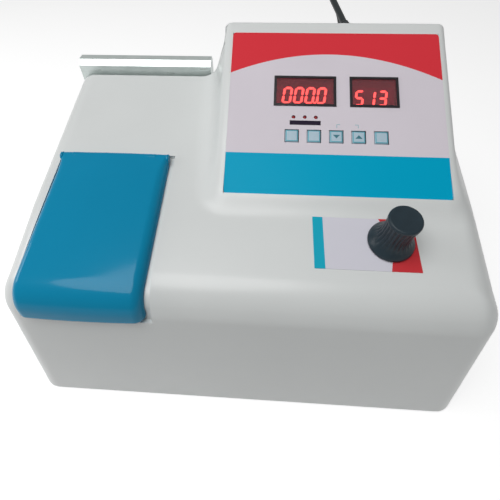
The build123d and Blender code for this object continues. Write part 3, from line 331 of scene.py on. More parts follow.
# Each plain finish: its slot, the real material's name, two colours, roughness, the size of its patches and
# of its grain and the grain's depth in millimetres, and what else it needs
PLAIN = (
    # ABS switch and fuse bodies with a sparked texture
    ("black_plastic", "sparked_abs", "#1d1f21", "#16181a", 0.55, 12, 0.6, 0.05, {"ior": 1.53}),
    # Polished ABS frames round the display windows, with a sharp thin highlight
    ("bezel_black", "polished_abs", "#19161c", "#120f14", 0.22, 10, 2.5, 0.01, {"ior": 1.53}),
    # Zinc plate over mild steel, passivated: a grey metal with soft bright patches
    ("zinc_steel", "zinc_plate", "#b7babd", "#a3a7ab", 0.38, 6, 0.8, 0.01, {"metallic": 1.0}),
    # Folded aluminium polished along its length, so that its grain is drawn out in lines
    ("polished_metal", "polished_aluminium", "#dfe6e4", "#c3cecb", 0.3, 14, 0.5, 0.012,
     {"spread": 0.08, "metallic": 0.6, "stretch": (0.08, 1.0, 1.0)}),
    # Sand cast aluminium with a pebbled skin
    ("cast_aluminium", "cast_aluminium", "#a7aaad", "#94989b", 0.52, 5, 0.9, 0.08, {"metallic": 1.0}),
    # Anodised aluminium dyed black, to keep stray light down
    ("black_anodised", "black_anodise", "#1a1b1e", "#131416", 0.5, 9, 0.5, 0.02, {"metallic": 0.6}),
    # Turned brass: a warm metal with a fine tool mark
    ("brass", "machined_brass", "#c19b50", "#ad8840", 0.3, 5, 0.4, 0.01, {"metallic": 1.0}),
    # Aluminium coated on the front of polished glass: a clean reflection
    ("mirror", "front_coated_mirror", "#eceeef", "#e4e7e8", 0.04, 30, 4.0, 0.001,
     {"metallic": 1.0, "spread": 0.01}),
    # Closed cell foam: dull, with its cells as a coarse grain
    ("foam", "closed_cell_foam", "#26272a", "#1b1c1e", 0.9, 4, 0.8, 0.25, {}),
    # Moulded rubber feet: dark and matt
    ("rubber_black", "moulded_rubber", "#232426", "#1a1b1c", 0.72, 6, 0.7, 0.06, {}),
    # Flexible vinyl of the mains lead, its strain relief and its plug: dark green-black and satin
    ("lead_black", "flexible_vinyl", "#171f22", "#11181a", 0.42, 20, 1.2, 0.03, {"ior": 1.52}),
    # Solder resist over the boards' copper: a deep green under a thin gloss
    ("board_green", "solder_resist", "#1d5f38", "#174f2e", 0.35, 3, 0.7, 0.05, {}),
    # Varnished transformer laminations: brown-grey lines along the stack
    ("core_steel", "varnished_laminations", "#45413d", "#37332f", 0.45, 3, 0.5, 0.12,
     {"metallic": 0.4, "stretch": (0.1, 1.0, 0.1)}),
    # Steatite lamp socket: a dry cream ceramic
    ("ceramic", "steatite", "#e6e1d4", "#dcd6c6", 0.4, 6, 0.6, 0.03, {}),
    # The displays' dark moulded bodies, plum through the red filter
    ("digit_module", "display_module", "#381a26", "#2e141f", 0.42, 10, 0.6, 0.01, {}),
    # Clear optical glass of the lens and the lamp's bulb
    ("clear_glass", "clear_glass", "#e8f0f0", "#e0eaea", 0.03, 30, 5.0, 0.001,
     {"spread": 0.01, "ior": 1.52, "transmission_weight": 1.0}),
    # Red acrylic filter: clear enough for the digits, milky enough to look plum beside them
    ("window_red", "red_filter_window", "#e6808c", "#de7884", 0.06, 30, 5.0, 0.002,
     {"spread": 0.02, "ior": 1.49, "transmission_weight": 0.9}),
    # Diffused resin of the indicator lamps, unlit
    ("led_red", "diffused_led", "#a8242c", "#8f1a24", 0.25, 3, 0.5, 0.004, {"ior": 1.5}),
    # A digit's bars when they are off: barely redder than the body round them
    ("dark_digit", "unlit_digit_segment", "#3c0f18", "#350c15", 0.4, 4, 0.5, 0.004, {}),
)
FINISHES = {}


def finishes():
    """Every material of the instrument, named for what the real one is."""
    made = FINISHES
    chosen = bpy.context.scene.spectro_colours
    pale, teal, ink = chosen.housing, chosen.lid, chosen.knob
    # Glass fibre moulding under a pale gelcoat: a soft gloss over a faint orange peel
    made["housing_white"] = plain_finish("gelcoat_moulding", pale, shaded(pale, 0.92), 0.3, 90, 9.0, 0.035,
                                         spread=0.05, ior=1.5, specular_ior_level=0.45)
    # The same moulding in teal: a thin clear coat, with slow waves that bend its highlights
    made["lid_blue"] = plain_finish("teal_gelcoat", teal, shaded(teal, 0.92), 0.3, 60, 13.0, 0.08,
                                    spread=0.05, ior=1.5, coat=0.3, coat_roughness=0.09,
                                    specular_ior_level=0.05)
    # Phenolic knob: nearly black with a soft sheen on its ribs
    made["knob_black"] = plain_finish("phenolic", ink, shaded(ink, 0.6), 0.36, 8, 0.9, 0.03, ior=1.55,
                                      specular_ior_level=0.25)
    for slot, name, *values, options in PLAIN:
        made[slot] = plain_finish(name, *values, **options)
    made["overlay_print"] = overlay_print(chosen.film_red, chosen.film_blue)
    made["decal_print"] = decal_print()
    for name, arrow in (("plain", 0), ("down", -1), ("up", 1)):
        made[f"key_{name}"] = key_print(f"key_print_{name}", arrow)
    made["lit_digit"] = lit("lit_digit_segment", "#ffa890", chosen.digit_glow)


def lit(name, colour, strength):
    """A red lamp behind a diffuser, with two near reds in its grain."""
    material, tree, shader, place = start_material(name)
    shader.inputs["Base Color"].default_value = linear(colour)
    shader.inputs["Roughness"].default_value = 0.4
    glow = mixed(tree, speckle(tree, place.outputs["Object"], 2.0), linear(colour), linear("#ff8f76"))
    tree.links.new(glow, shader.inputs["Emission Color"])
    shader.inputs["Emission Strength"].default_value = strength
    return material


def face_coordinates(tree, place, axes, origin):
    """Across, up and out of a tilted face in metres, from the object's own coordinates."""
    tilt = math.atan2(axes[1][2], axes[1][1])
    shift = -(axes @ (np.asarray(origin) * MM))
    mapping = add(tree, "ShaderNodeMapping", {"Rotation": (-tilt, 0, 0), "Location": tuple(shift.tolist())},
                  {"Vector": place.outputs["Object"]})
    parts = add(tree, "ShaderNodeSeparateXYZ", links={0: mapping.outputs[0]})
    return parts.outputs[0], parts.outputs[1]


def between(tree, value, low, high):
    """1 where a value in metres lies between two sizes in millimetres."""
    return times(tree, above(tree, value, low * MM), below(tree, value, high * MM))


def inside(tree, across, up, box):
    """1 inside a box of the face: left, right, low and high in millimetres."""
    return times(tree, between(tree, across, *box[:2]), between(tree, up, *box[2:]))


def printed(name, roughness):
    """Ink on the back of a clear film: flat colour under a fine satin surface."""
    material, tree, shader, place = start_material(name)
    coordinates = place.outputs["Object"]
    bumped(tree, shader, speckle(tree, coordinates, 0.8), 0.012)
    worn(tree, shader, speckle(tree, coordinates, 14.0, 3.0), roughness, 0.05)
    shader.inputs["Specular IOR Level"].default_value = 0.05
    return material, tree, shader, place, speckle(tree, coordinates, 60.0, 3.0)


# The film's print, in millimetres of the pod's face: boxes are left, right, low and high
ARCH_MIDDLE, ARCH_TOP, ARCH_BEND = -5.0, 56.6, 0.00255
BAR_TOP = -42.2
LAMP_LABEL = (-39.5, -12.6, -14.9, -10.6)
HOOKS_OUTER, HOOKS_HOLLOW = (1.0, 19.8, -17.0, -13.6), (1.5, 19.3, -18.0, -14.1)
HOOKS_GAP = (4.0, 16.8, -15.0, -13.0)


def overlay_print(red_field, blue_bar):
    """The film over the pod's face: a red field with an arched lower edge, a pale middle and a blue bar."""
    material, tree, shader, place, cloud = printed("screen_printed_film", 0.34)
    across, up = face_coordinates(tree, place, FACE_AXES, FACE_ORIGIN)
    ground = mixed(tree, cloud, linear("#e0d9e1"), linear("#d8d1d9"))
    # The arch is a parabola: up = top - bend x (across - middle)^2
    offset = minus(tree, across, ARCH_MIDDLE * MM)
    drop = times(tree, times(tree, offset, offset), ARCH_BEND / MM)
    red = above(tree, plus(tree, up, drop), ARCH_TOP * MM)
    ground = mixed(tree, red, ground, tuple(red_field))
    ground = mixed(tree, below(tree, up, BAR_TOP * MM), ground, tuple(blue_bar))
    ground = mixed(tree, inside(tree, across, up, LAMP_LABEL), ground, linear("#2a2233"))
    # Two small hooks stand over the stepping keys: a frame less its inside and less its middle
    line = inside(tree, across, up, HOOKS_OUTER)
    for box in (HOOKS_HOLLOW, HOOKS_GAP):
        rest = minus(tree, 1.0, inside(tree, across, up, box))
        line = times(tree, line, rest)
    ground = mixed(tree, line, ground, linear("#7fb3bd"))
    tree.links.new(ground, shader.inputs["Base Color"])
    return material


# The label's print, in millimetres of the sloping top
STRIP_RIGHT = 62.2
CORNER_LEFT, CORNER_LOW, CORNER_LEAN, CORNER_BEND = 111.3, 57.4, 0.261, 0.0079


def decal_print():
    """The label under the knob: a blue strip, a pale field and a red corner with a hollow edge."""
    material, tree, shader, place, cloud = printed("printed_label", 0.36)
    across, up = face_coordinates(tree, place, TOP_AXES, TOP_ORIGIN)
    ground = mixed(tree, cloud, linear("#d9d8e1"), linear("#d2d1db"))
    strip = below(tree, across, STRIP_RIGHT * MM)
    ground = mixed(tree, strip, ground, linear("#20aac4"))
    # The red corner's left edge curves away to the right as it goes up
    rise = minus(tree, up, CORNER_LOW * MM)
    curve = times(tree, times(tree, rise, rise), CORNER_BEND / MM)
    edge = minus(tree, across, times(tree, rise, CORNER_LEAN))
    red = above(tree, plus(tree, edge, curve), CORNER_LEFT * MM)
    ground = mixed(tree, red, ground, linear("#c9393f"))
    tree.links.new(ground, shader.inputs["Base Color"])
    return material


# The key's print, in shares of its side: the outline's band, and the arrow's slope, tip and foot
OUTLINE_INNER, OUTLINE_OUTER = 0.37, 0.44
ARROW_SLOPE, ARROW_TIP, ARROW_FOOT = 1.1, 0.15, -0.14


def key_print(name, arrow):
    """A pale blue key with a teal outline, and an arrow where it steps up or down."""
    material, tree, shader, place = start_material(name)
    uv = add(tree, "ShaderNodeSeparateXYZ", links={0: place.outputs["UV"]})
    u, v = (minus(tree, uv.outputs[i], 0.5) for i in (0, 1))
    side = calc("ABSOLUTE", tree, u)
    reach = calc("MAXIMUM", tree, side, calc("ABSOLUTE", tree, v))
    cloud = speckle(tree, place.outputs["Object"], 3.0)
    ground = mixed(tree, cloud, linear("#b3c9d6"), linear("#a6becc"))
    rim = times(tree, above(tree, reach, OUTLINE_INNER), below(tree, reach, OUTLINE_OUTER))
    ground = mixed(tree, rim, ground, linear("#4fa3b4"))
    if arrow:
        height = times(tree, v, float(arrow))
        edge = plus(tree, times(tree, side, ARROW_SLOPE), height)
        mark = times(tree, below(tree, edge, ARROW_TIP), above(tree, height, ARROW_FOOT))
        ground = mixed(tree, mark, ground, linear("#26707f"))
    tree.links.new(ground, shader.inputs["Base Color"])
    shader.inputs["Roughness"].default_value = 0.42
    bumped(tree, shader, speckle(tree, place.outputs["Object"], 0.6), 0.02)
    return material


def dress(piece, finish):
    """Gives a piece one finish."""
    piece.data.materials.clear()
    piece.data.materials.append(FINISHES[finish])
    return piece


def settle(piece, finish, body, slot, *nodes):
    """Dresses a new piece, ties it to its body and hides the frame nodes it stands for; its slot is not used.
    """
    dress(piece, finish)
    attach(piece, body)
    if nodes:
        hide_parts(*nodes)
    return piece


def node_dress():
    """Gives every frame node the finish of its slot."""
    slots = {entry["node"]: entry["material_slot"] for entry in frame["record"]["subparts"]}
    for name, obj in frame["nodes"].items():
        finish = slots[name]
        if finish == "key_blue":
            finish = "key_plain"
        dress(obj, finish)


# Sample lid, in millimetres: its outline on the housing; how far it stands out, sinks into the recess and
# bends; its skin, side rims, end rims and front corners; its crown and belly; its hinge knuckles
LID_LEFT, LID_RIGHT, LID_REAR, LID_LOW = -174.5, -73.5, 160.0, 123.5
LID_STAND, LID_SINK, LID_BEND = 5.7, 3.5, 20.0
LID_SKIN, LID_RIM, LID_END, LID_CORNER = 2.5, 8.0, 6.0, 6.5
LID_EDGE, LID_CROWN, LID_BELLY = 0.4, 1.3, 0.8
KNUCKLE, KNUCKLE_ROUND, PLATE_START, PLATE_END = 4.2, 0.6, 2.5, 11.5
# Towards the hinge the side rims narrow by this much over this distance
RIM_NARROWER, RIM_EASE = 5.0, 24.0


def lid_spine(count_top=60, count_bend=26, count_front=14):
    """The lid's side line on the housing's surface: up the slope, round the shoulder, down the front.

    Returns points in y and z and the outward direction at each, evenly spaced on each stretch."""
    lean = math.atan(FRONT_DRAFT)
    down = np.array([-math.sin(lean), -math.cos(lean)])
    along = np.array([-math.cos(TOP_SLOPE), -math.sin(TOP_SLOPE)])
    corner_y = FRONT_DRAFT * SHOULDER
    corner = np.array([corner_y, FOOT + SHOULDER])
    turn = math.acos(float(np.clip(along @ down, -1, 1)))
    set_back = LID_BEND * math.tan(turn / 2)
    rear = np.array([LID_REAR, SLOPE_START + RISE * LID_REAR])
    bend_start, bend_end = corner - along * set_back, corner + down * set_back
    foot_z = LID_LOW + FOOT
    foot = bend_end + down * (bend_end[1] - foot_z) / math.cos(lean)
    out_top = np.array([-math.sin(TOP_SLOPE), math.cos(TOP_SLOPE)])
    centre = bend_start - out_top * LID_BEND
    first = math.atan2(out_top[1], out_top[0])
    angle = first + np.linspace(0, turn, count_bend)
    out_bend = np.stack([np.cos(angle), np.sin(angle)], axis=1)
    ease = np.linspace(0, 1, count_top)[:, None]
    rise = np.linspace(0, 1, count_front)[:, None]
    top = rear + (bend_start - rear) * ease
    bend = centre + out_bend * LID_BEND
    front = bend_end + (foot - bend_end) * rise
    line = np.concatenate([top[:-1], bend, front[1:]])
    out = np.concatenate([np.tile(out_top, (count_top - 1, 1)), out_bend,
                          np.tile(out_bend[-1], (count_front - 1, 1))])
    line[:, 0] -= MIDDLE_Y
    return line, out


def rounded_ends(position, length, radius, first=None):
    """How much of its height an edge keeps near its two ends: a quarter of an ellipse."""
    first = radius if first is None else first
    near = np.clip(np.minimum(position / first, (length - position) / radius), 0, 1)
    return np.sqrt(np.clip(1 - (1 - near) ** 2, 0, 1))


def edge_spaced(length, count, radius, share=0.42):
    """Positions along a length that crowd into its rounded ends."""
    k = max(int(count * share / 2), 4)
    angle = np.linspace(0, math.pi / 2, k)
    start = radius * (1 - np.cos(angle))
    middle = np.linspace(radius, length - radius, count - 2 * k + 2)[1:-1]
    return np.concatenate([start, middle, (length - start)[::-1]])


def carry(line, out, at):
    """Points and outward directions at given distances along a side line."""
    step = np.concatenate([[0], np.cumsum(np.linalg.norm(np.diff(line, axis=0), axis=1))])
    place = np.stack([np.interp(at, step, line[:, i]) for i in (0, 1)], axis=1)
    aim = np.stack([np.interp(at, step, out[:, i]) for i in (0, 1)], axis=1)
    return place, aim / np.linalg.norm(aim, axis=1, keepdims=True), step[-1]


def lid_skin():
    """The lid's shell: height over the housing as a function of the distance along and across it.

    Outside, the height is a gentle crown times a quarter ellipse at each edge; inside, the same
    surface drawn in by the skin. The two meet in a rounded rim round the lid's foot."""
    line, out = lid_spine(200, 120, 60)
    length = carry(line, out, np.array([0.0]))[2]
    width = LID_RIGHT - LID_LEFT
    grids = []
    for skin in (0.0, LID_SKIN):
        rim, end = LID_RIM - skin, LID_END - skin
        s = edge_spaced(length - 2 * skin, 118, end) + skin
        s = np.sort(np.append(s, [KNUCKLE - 0.01, KNUCKLE + 0.01]))
        t = edge_spaced(width - 2 * skin, 64, rim) + skin
        place, aim, _ = carry(line, out, s)
        # The foot of the rim: level with the hinge line behind it, round its knuckles, then in the recess
        under = LID_STAND - KNUCKLE - np.sqrt(np.clip(KNUCKLE**2 - (s - KNUCKLE) ** 2, 0, None))
        low = np.where(s < KNUCKLE, LID_STAND - KNUCKLE, np.where(s < 2 * KNUCKLE, under, -LID_SINK))[:, None]
        high = LID_STAND + LID_EDGE - skin
        # The two front corners are round in plan
        short = np.clip((s - (length - LID_CORNER)) / (LID_CORNER - skin), 0, 1)
        pull = (LID_CORNER - skin) * (1 - np.sqrt(1 - short**2))
        half = width / 2 - skin - pull
        across = (t - width / 2)[None, :] / (width / 2 - skin) * half[:, None]
        crown = LID_CROWN * (1 - (2 * (t - width / 2) / width) ** 2)
        belly = LID_BELLY * np.sin(math.pi * np.clip((s - skin) / (length - 2 * skin), 0, 1)) ** 0.6
        narrow = rim - RIM_NARROWER * (1 - np.clip((s - KNUCKLE) / RIM_EASE, 0, 1)) ** 2
        shape = rounded_ends(t[None, :] - skin, width - 2 * skin, narrow[:, None]) * rounded_ends(
            s - skin, length - 2 * skin, end, KNUCKLE - skin)[:, None]
        lift = low + (high - 1.5 - low + crown[None, :] + belly[:, None]) * shape
        points = np.empty((len(s), len(t), 3))
        points[..., 0] = (LID_LEFT + LID_RIGHT) / 2 + across
        points[..., 1] = place[:, 0][:, None] + aim[:, 0][:, None] * lift
        points[..., 2] = place[:, 1][:, None] + aim[:, 1][:, None] * lift
        grids.append(points)
    return closed("lid_skin", [(np.concatenate(grids), shell_cells(*grids[0].shape[:2]))])


def hinge_centre():
    """Where the hinge line crosses the plane x = 0, in millimetres."""
    low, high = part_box("lid_hinge_pin")
    return np.array([0, (low[1] + high[1]) / 2, (low[2] + high[2]) / 2]) / MM


def lid_barrels():
    """The lid's hinge knuckles: round bars on the hinge line between the brackets."""
    grids = []
    spans = ((LID_LEFT, LID_LEFT + PLATE_START), (LID_LEFT + PLATE_END, LID_RIGHT - PLATE_END),
             (LID_RIGHT - PLATE_START, LID_RIGHT))
    for start, end in spans:
        profile = [(3.6, 0.0), (KNUCKLE, KNUCKLE_ROUND), (KNUCKLE, end - start - KNUCKLE_ROUND),
                   (3.6, end - start)]
        points, cells = closed_turn(profile, 40)
        grids.append((along_axis(points, hinge_centre() + [start, 0, 0], (1, 0, 0)), cells))
    return closed("lid_barrels", grids, sharp=40)


# Housing
RAY_CENTRE = np.array([20.0, 150.0, 60.0])
RECESS_DEPTH, LID_GAP, LID_GAP_RIGHT = 3.9, 1.0, 4.5
# The base: half its width at the front foot, how it spreads to the rear and leans in as it rises
BASE_HALF, BASE_SPREAD, BASE_LEAN = 205.8, 0.030, 0.1112
REAR_WALL, REAR_LEAN, REAR_ROUND = 279.0, 0.0218, 5.0
CORNER_ROUND, SHOULDER_ROUND, SHOULDER_MORE = 18.0, 17.0, 6.0
# The pod: half its face, then the margin and the flare of its left, right and lower sides
FACE_HALF = (94.0, 79.5)
POD_LEFT, POD_RIGHT, POD_FOOT = (8.5, 0.26), (8.0, 0.12), (6.0, 0.45)
POD_ROUND, POD_EDGE, POD_LIP, POD_BLEND = 13.0, 6.5, 0.6, 17.0


def round_max(a, b, radius):
    """The greater of two distances, with the edge between the two surfaces rounded."""
    inner = np.minimum(np.maximum(a, b), -radius)
    return inner + np.hypot(np.maximum(a + radius, 0), np.maximum(b + radius, 0))


def blend_min(a, b, reach):
    """The lesser of two distances, with the inner corner between the two surfaces filled."""
    near = np.maximum(reach - np.abs(a - b), 0) / reach
    return np.minimum(a, b) - near * near * reach / 4


def moulding_field(points, inset):
    """How far points lie outside the moulding: rounded planes of the base and of the pod, blended.

    Distances to the drafted walls and the sloping top make the base; distances to the pod's face and
    to its spreading sides make the pod; both end at one leaning rear wall."""
    x, y, z = np.moveaxis(points, -1, 0)
    side = (np.abs(x) - (BASE_HALF + BASE_SPREAD * y - BASE_LEAN * z)) / math.sqrt(
        1 + BASE_SPREAD**2 + BASE_LEAN**2) + inset
    front = (FRONT_DRAFT * z - y) / math.hypot(1, FRONT_DRAFT) + inset
    rear = (y - REAR_WALL + REAR_LEAN * z) / math.hypot(1, REAR_LEAN) + inset
    top = (z + FOOT - SLOPE_START) * math.cos(TOP_SLOPE) - y * math.sin(TOP_SLOPE) + inset
    # The shoulder is rounder towards the front
    shoulder = SHOULDER_ROUND + SHOULDER_MORE * np.clip((110.0 - y) / 60.0, 0, 1) - inset
    base = round_max(round_max(side, front, CORNER_ROUND - inset), top, shoulder)
    across, up, out = np.moveaxis((points - [POD_X, POD_Y, POD_Z]) @ FACE_AXES.T, -1, 0)
    left, right, low = (
        (distance - half - margin + flare * out) / math.hypot(1, flare) + inset
        for distance, half, (margin, flare) in ((-across, FACE_HALF[0], POD_LEFT),
                                                (across, FACE_HALF[0], POD_RIGHT),
                                                (-up, FACE_HALF[1], POD_FOOT)))
    sides = round_max(np.maximum(left, right), low, POD_ROUND - inset)
    pod = round_max(sides, out + POD_LIP + inset, POD_EDGE - inset)
    return round_max(blend_min(base, pod, POD_BLEND), rear, REAR_ROUND - inset)


def ray_hits(aim, inset):
    """Where rays from the middle of the moulding leave it, by halving an interval forty times."""
    aim = aim / np.linalg.norm(aim, axis=-1, keepdims=True)
    near, far = np.zeros(aim.shape[:-1]), np.full(aim.shape[:-1], 500.0)
    for _ in range(40):
        middle = (near + far) / 2
        outside = moulding_field(RAY_CENTRE + aim * middle[..., None], inset) > 0
        near, far = np.where(outside, near, middle), np.where(outside, middle, far)
    return RAY_CENTRE + aim * near[..., None]


def plan_outline(count, radius=24.0):
    """Points round a rounded rectangle as large as the moulding's plan, evenly along its length."""
    half, front, rear = 199.0 - radius, 14.0 + radius, 277.0 - radius
    corners = []
    for cx, cy, turn in ((half, front, -1), (half, rear, 0), (-half, rear, 1), (-half, front, 2)):
        at = np.linspace(0, math.pi / 2, 40) + turn * math.pi / 2
        corners.append(np.stack([cx + radius * np.cos(at), cy + radius * np.sin(at)], axis=1))
    line = np.concatenate(corners + [corners[0][:1]])
    # The corners' short steps weigh more, which draws the points to them
    weight = np.linalg.norm(np.diff(line, axis=0), axis=1)
    weight = weight * np.where(weight < 3.0, 1.5, 1.0)
    step = np.concatenate([[0], np.cumsum(weight)])
    at = np.linspace(0, step[-1], count, endpoint=False)
    return np.stack([np.interp(at, step, line[:, i]) for i in (0, 1)], axis=1)


def proxy_aims(outline, share):
    """Directions to points that run from the pod's face out to the plan outline, then down the wall."""
    middle = np.array([POD_X, POD_Y])
    flat = np.clip(share, 0, 1)[..., None]
    drop = np.clip(share - 1, 0, None)
    plan = middle + (outline[:, None, :] - middle) * flat
    base_top = SLOPE_START - FOOT + RISE * plan[..., 1]
    pod_top = POD_Z + math.tan(FACE_TILT) * (plan[..., 1] - POD_Y)
    over_pod = (np.abs(plan[..., 0] - POD_X) < 104) & (plan[..., 1] > 112)
    level = np.where(over_pod, np.maximum(base_top, pod_top), base_top)
    level = np.where(share > 1, base_top * (1 - drop) - 34.0 * drop, level)
    return np.concatenate([plan, level[..., None]], axis=-1) - RAY_CENTRE


def moulding_grid(around, down, inset):
    """The moulding's skin as a grid: angle round the pod's middle by distance down the surface.

    Stations crowd where the skin bends, by a first pass that measures length and turning."""
    outline = plan_outline(around)
    first = np.linspace(0.02, 2, 900)
    coarse = ray_hits(proxy_aims(outline, np.tile(first, (around, 1))), inset)
    step = np.diff(coarse, axis=1)
    length = np.linalg.norm(step, axis=2)
    aim = step / np.maximum(length, 1e-9)[..., None]
    turning = np.linalg.norm(np.diff(aim, axis=1), axis=2)
    turning = np.concatenate([turning[:, :1], turning], axis=1)
    weight = length + 16.0 * turning + 0.02
    total = np.concatenate([np.zeros((around, 1)), np.cumsum(weight, axis=1)], axis=1)
    total = total / total[:, -1:]
    # Each row's stations are the mean of nine neighbours', so that the rows run smoothly side by side
    padded = np.concatenate([total[-4:], total, total[:4]])
    total = np.apply_along_axis(np.convolve, 0, padded, np.ones(9) / 9, "valid")
    even = np.linspace(0, 1, down)
    share = np.stack([np.interp(even, row, first) for row in total])
    return ray_hits(proxy_aims(outline, share), inset)


def moulding_solid(name, around, down, inset):
    """A closed solid of the moulding, drawn in by inset and run on below its lower edge."""
    grid = moulding_grid(around, down, inset)
    grid[..., 1] -= MIDDLE_Y
    grid[..., 2] += FOOT
    count = around * down
    poles = [grid[:, 0].mean(axis=0), grid[:, -1].mean(axis=0)]
    flat = np.concatenate([grid.reshape(-1, 3), poles])
    first = np.arange(around)
    after = (first + 1) % around
    pole = np.stack([np.full(around, count), first * down, after * down], axis=1)
    foot = np.stack([np.full(around, count + 1), after * down + down - 1, first * down + down - 1], axis=1)
    return closed(name, [(flat, [quads(around, down, wrap_rows=True), pole, foot])])


def block(x0, x1, y0, y1, z0, z1):
    """A closed box between two corners, y measured from the front foot."""
    points, cells = prism([(x0, y0), (x1, y0), (x1, y1), (x0, y1)], z0, z1)
    return points - [0, MIDDLE_Y, 0], cells


def disc(radius, count=48):
    """A ring of points round a circle."""
    angle = np.linspace(0, 2 * math.pi, count, endpoint=False)
    return np.stack([radius * np.cos(angle), radius * np.sin(angle)], axis=1)


def band(name, grow, grow_right, outer, inner):
    """A closed band that follows the lid's side line between two heights over the moulding."""
    line, out = lid_spine(40, 40, 12)
    tangent = np.gradient(line, axis=0)
    tangent /= np.linalg.norm(tangent, axis=1, keepdims=True)
    line = np.concatenate([line[:1] - tangent[:1] * grow, line, line[-1:] + tangent[-1:] * grow])
    out = np.concatenate([out[:1], out, out[-1:]])
    ring = np.concatenate([line + out * outer, (line + out * inner)[::-1]])
    x0, x1 = LID_LEFT - grow, LID_RIGHT + grow_right
    ends = [np.column_stack([np.full(len(ring), x), ring]) for x in (x0, x1)]
    return closed(name, [(np.concatenate(ends), tube_cells(len(ring)))])


def cut(piece, tool, operation="DIFFERENCE"):
    """Cuts a closed tool from a closed piece, or joins it, and removes the tool."""
    change = piece.modifiers.new("cut", "BOOLEAN")
    change.operation = operation
    change.object = tool
    change.solver = "EXACT"
    graph = bpy.context.evaluated_depsgraph_get()
    mesh = bpy.data.meshes.new_from_object(piece.evaluated_get(graph))
    piece.modifiers.clear()
    old = piece.data
    piece.data = mesh
    bpy.data.meshes.remove(old)
    bpy.data.objects.remove(tool)
    return piece


def hinge_rod(name, grow, radius):
    """A closed bar along the lid's hinge line."""
    length = LID_RIGHT - LID_LEFT + 2 * grow
    points, cells = closed_turn([(radius, 0.0), (radius, length)], 40)
    start = hinge_centre() + [LID_LEFT - grow, 0, 0]
    return closed(name, [(along_axis(points, start, (1, 0, 0)), cells)])


def openings_tool():
    """The holes through the moulding as one tool: well mouth, panel, knob, rear fittings and vents."""
    rear = 277.7
    # The well's mouth, and all that lies below the moulding's lower edge
    grids = [block(-164, -80, 56, 140, 60, 260), block(-600, 600, -200, 600, -80, FOOT)]
    hole, cells = prism([(-82, -52.5), (82, -52.5), (82, 60.5), (-82, 60.5)], -14, 6)
    grids.append((on_face(hole), cells))
    shaft, cells = prism(disc(6.1), -14, 14)
    grids.append((on_top(shaft + [*KNOB_PLACE, 0]), cells))
    # In the rear wall: the power switch, the lamp house, the fuse, the lead's strain relief and the vents
    grids.append(block(139, 161, rear - 12, rear + 12, 45, 75))
    grids.append(block(-162, -64, rear - 22, rear + 22, 82, 158))
    for x, z, radius in ((110.0, 60.0, 6.5), (BOOT_WALL[0], BOOT_WALL[2], 6.0)):
        bore, cells = prism(disc(radius), -20, 20)
        grids.append((along_axis(bore, (x, rear - MIDDLE_Y, z), (0, 1, 0)), cells))
    for row in range(5):
        for column in range(2):
            x = 20 + column * 42
            grids.append(block(x, x + 32, rear - 12, rear + 12, 44 + row * 11, 48 + row * 11))
    return closed("openings_tool", grids)


def seat_tool():
    """The shallow seat that takes the fascia plate and its film."""
    half_x, half_y = (half + 0.15 for half in FACE_HALF)
    corners = [(-half_x, -half_y), (half_x, -half_y), (half_x, half_y), (-half_x, half_y)]
    seat, cells = prism(corners, -2.1, 14)
    return closed("seat_tool", [(on_face(seat), cells)])


def finger_tool():
    """The finger recess under the lid's front edge, its two ends sloped."""
    left, right, high, deep = -145.0, -102.5, 11.0, 2.0
    lean = math.atan(FRONT_DRAFT)
    ring = [(left - 0.6, -6.0), (right + 4.0, -6.0), (right + 1.2, 0.0), (right - 2.0, deep),
            (left + 0.8, deep), (left - 0.6, 0.0)]
    points = np.array([(x, y, z) for z in (-high, 2.0) for x, y in ring])
    turned_y = points[:, 1] * math.cos(lean) + points[:, 2] * math.sin(lean)
    turned_z = points[:, 2] * math.cos(lean) - points[:, 1] * math.sin(lean)
    placed = np.column_stack([points[:, 0], turned_y + FRONT_DRAFT * LID_LOW, turned_z + LID_LOW + FOOT])
    return closed("finger_tool", [(placed, tube_cells(len(ring)))])


def housing_skin(wall):
    """The moulded housing: an outer and an inner skin of one blended form, with its recess and holes.

    Under the lid the wall stays whole: the hollow leaves a pad there, and a trough along the hinge."""
    shell = moulding_solid("housing_skin", 300, 170, 0.0)
    hollow = moulding_solid("hollow_tool", 160, 90, wall)
    cut(hollow, band("pad_tool", LID_GAP + 6, LID_GAP_RIGHT + 6, 0.5, -RECESS_DEPTH - 3.6))
    cut(hollow, hinge_rod("trough_tool", 6, 8.2))
    cut(shell, hollow)
    cut(shell, band("recess_tool", LID_GAP, LID_GAP_RIGHT, 30, -RECESS_DEPTH))
    cut(shell, hinge_rod("groove_tool", LID_GAP, 4.9))
    cut(shell, openings_tool())
    cut(shell, seat_tool())
    cut(shell, finger_tool())
    shell.data.shade_smooth()
    shell.data.set_sharp_from_angle(angle=math.radians(32))
    return shell


# Knob
FLUTES = 24


def knob_shape(flute_depth):
    """The knob: a smooth profile turned about the shaft, with hollow flutes cut round the waist."""
    knots = [(10.6, 1.0), (17.2, 1.0), (17.8, 1.7), (17.8, 3.2), (17.0, 4.6), (14.6, 7.8), (12.7, 11.6),
             (11.6, 17.0), (11.5, 24.0), (12.0, 30.5), (12.2, 33.2), (11.8, 34.5), (10.9, 35.0), (8.5, 34.75),
             (4.0, 34.55), (0.6, 34.5)]
    profile = np.concatenate([smooth_curve(knots[:4], 14)[:-1], smooth_curve(knots[3:], 90)])

    def flute(radius, height, angle):
        band = np.clip((height - 7.0) / 5.0, 0, 1) * np.clip((32.6 - height) / 2.4, 0, 1) * (radius > 9)
        wave = 0.5 + 0.5 * np.cos(FLUTES * angle)
        return radius - flute_depth * band * (1 - wave**0.55)

    points, cells = closed_turn(profile, 12 * FLUTES, flute)
    return closed("knob_shape", [(on_top(points + [*KNOB_PLACE, 0]), cells)])


# Keys and display
KEY_ACROSS = (-37.5, -18.4, 0.7, 19.8, 38.9)
KEY_UP, KEY_CORNER = -25.4, 1.5
KEY_HALF, KEY_FOOT, KEY_SWELL = 5.9, -2.6, 0.12


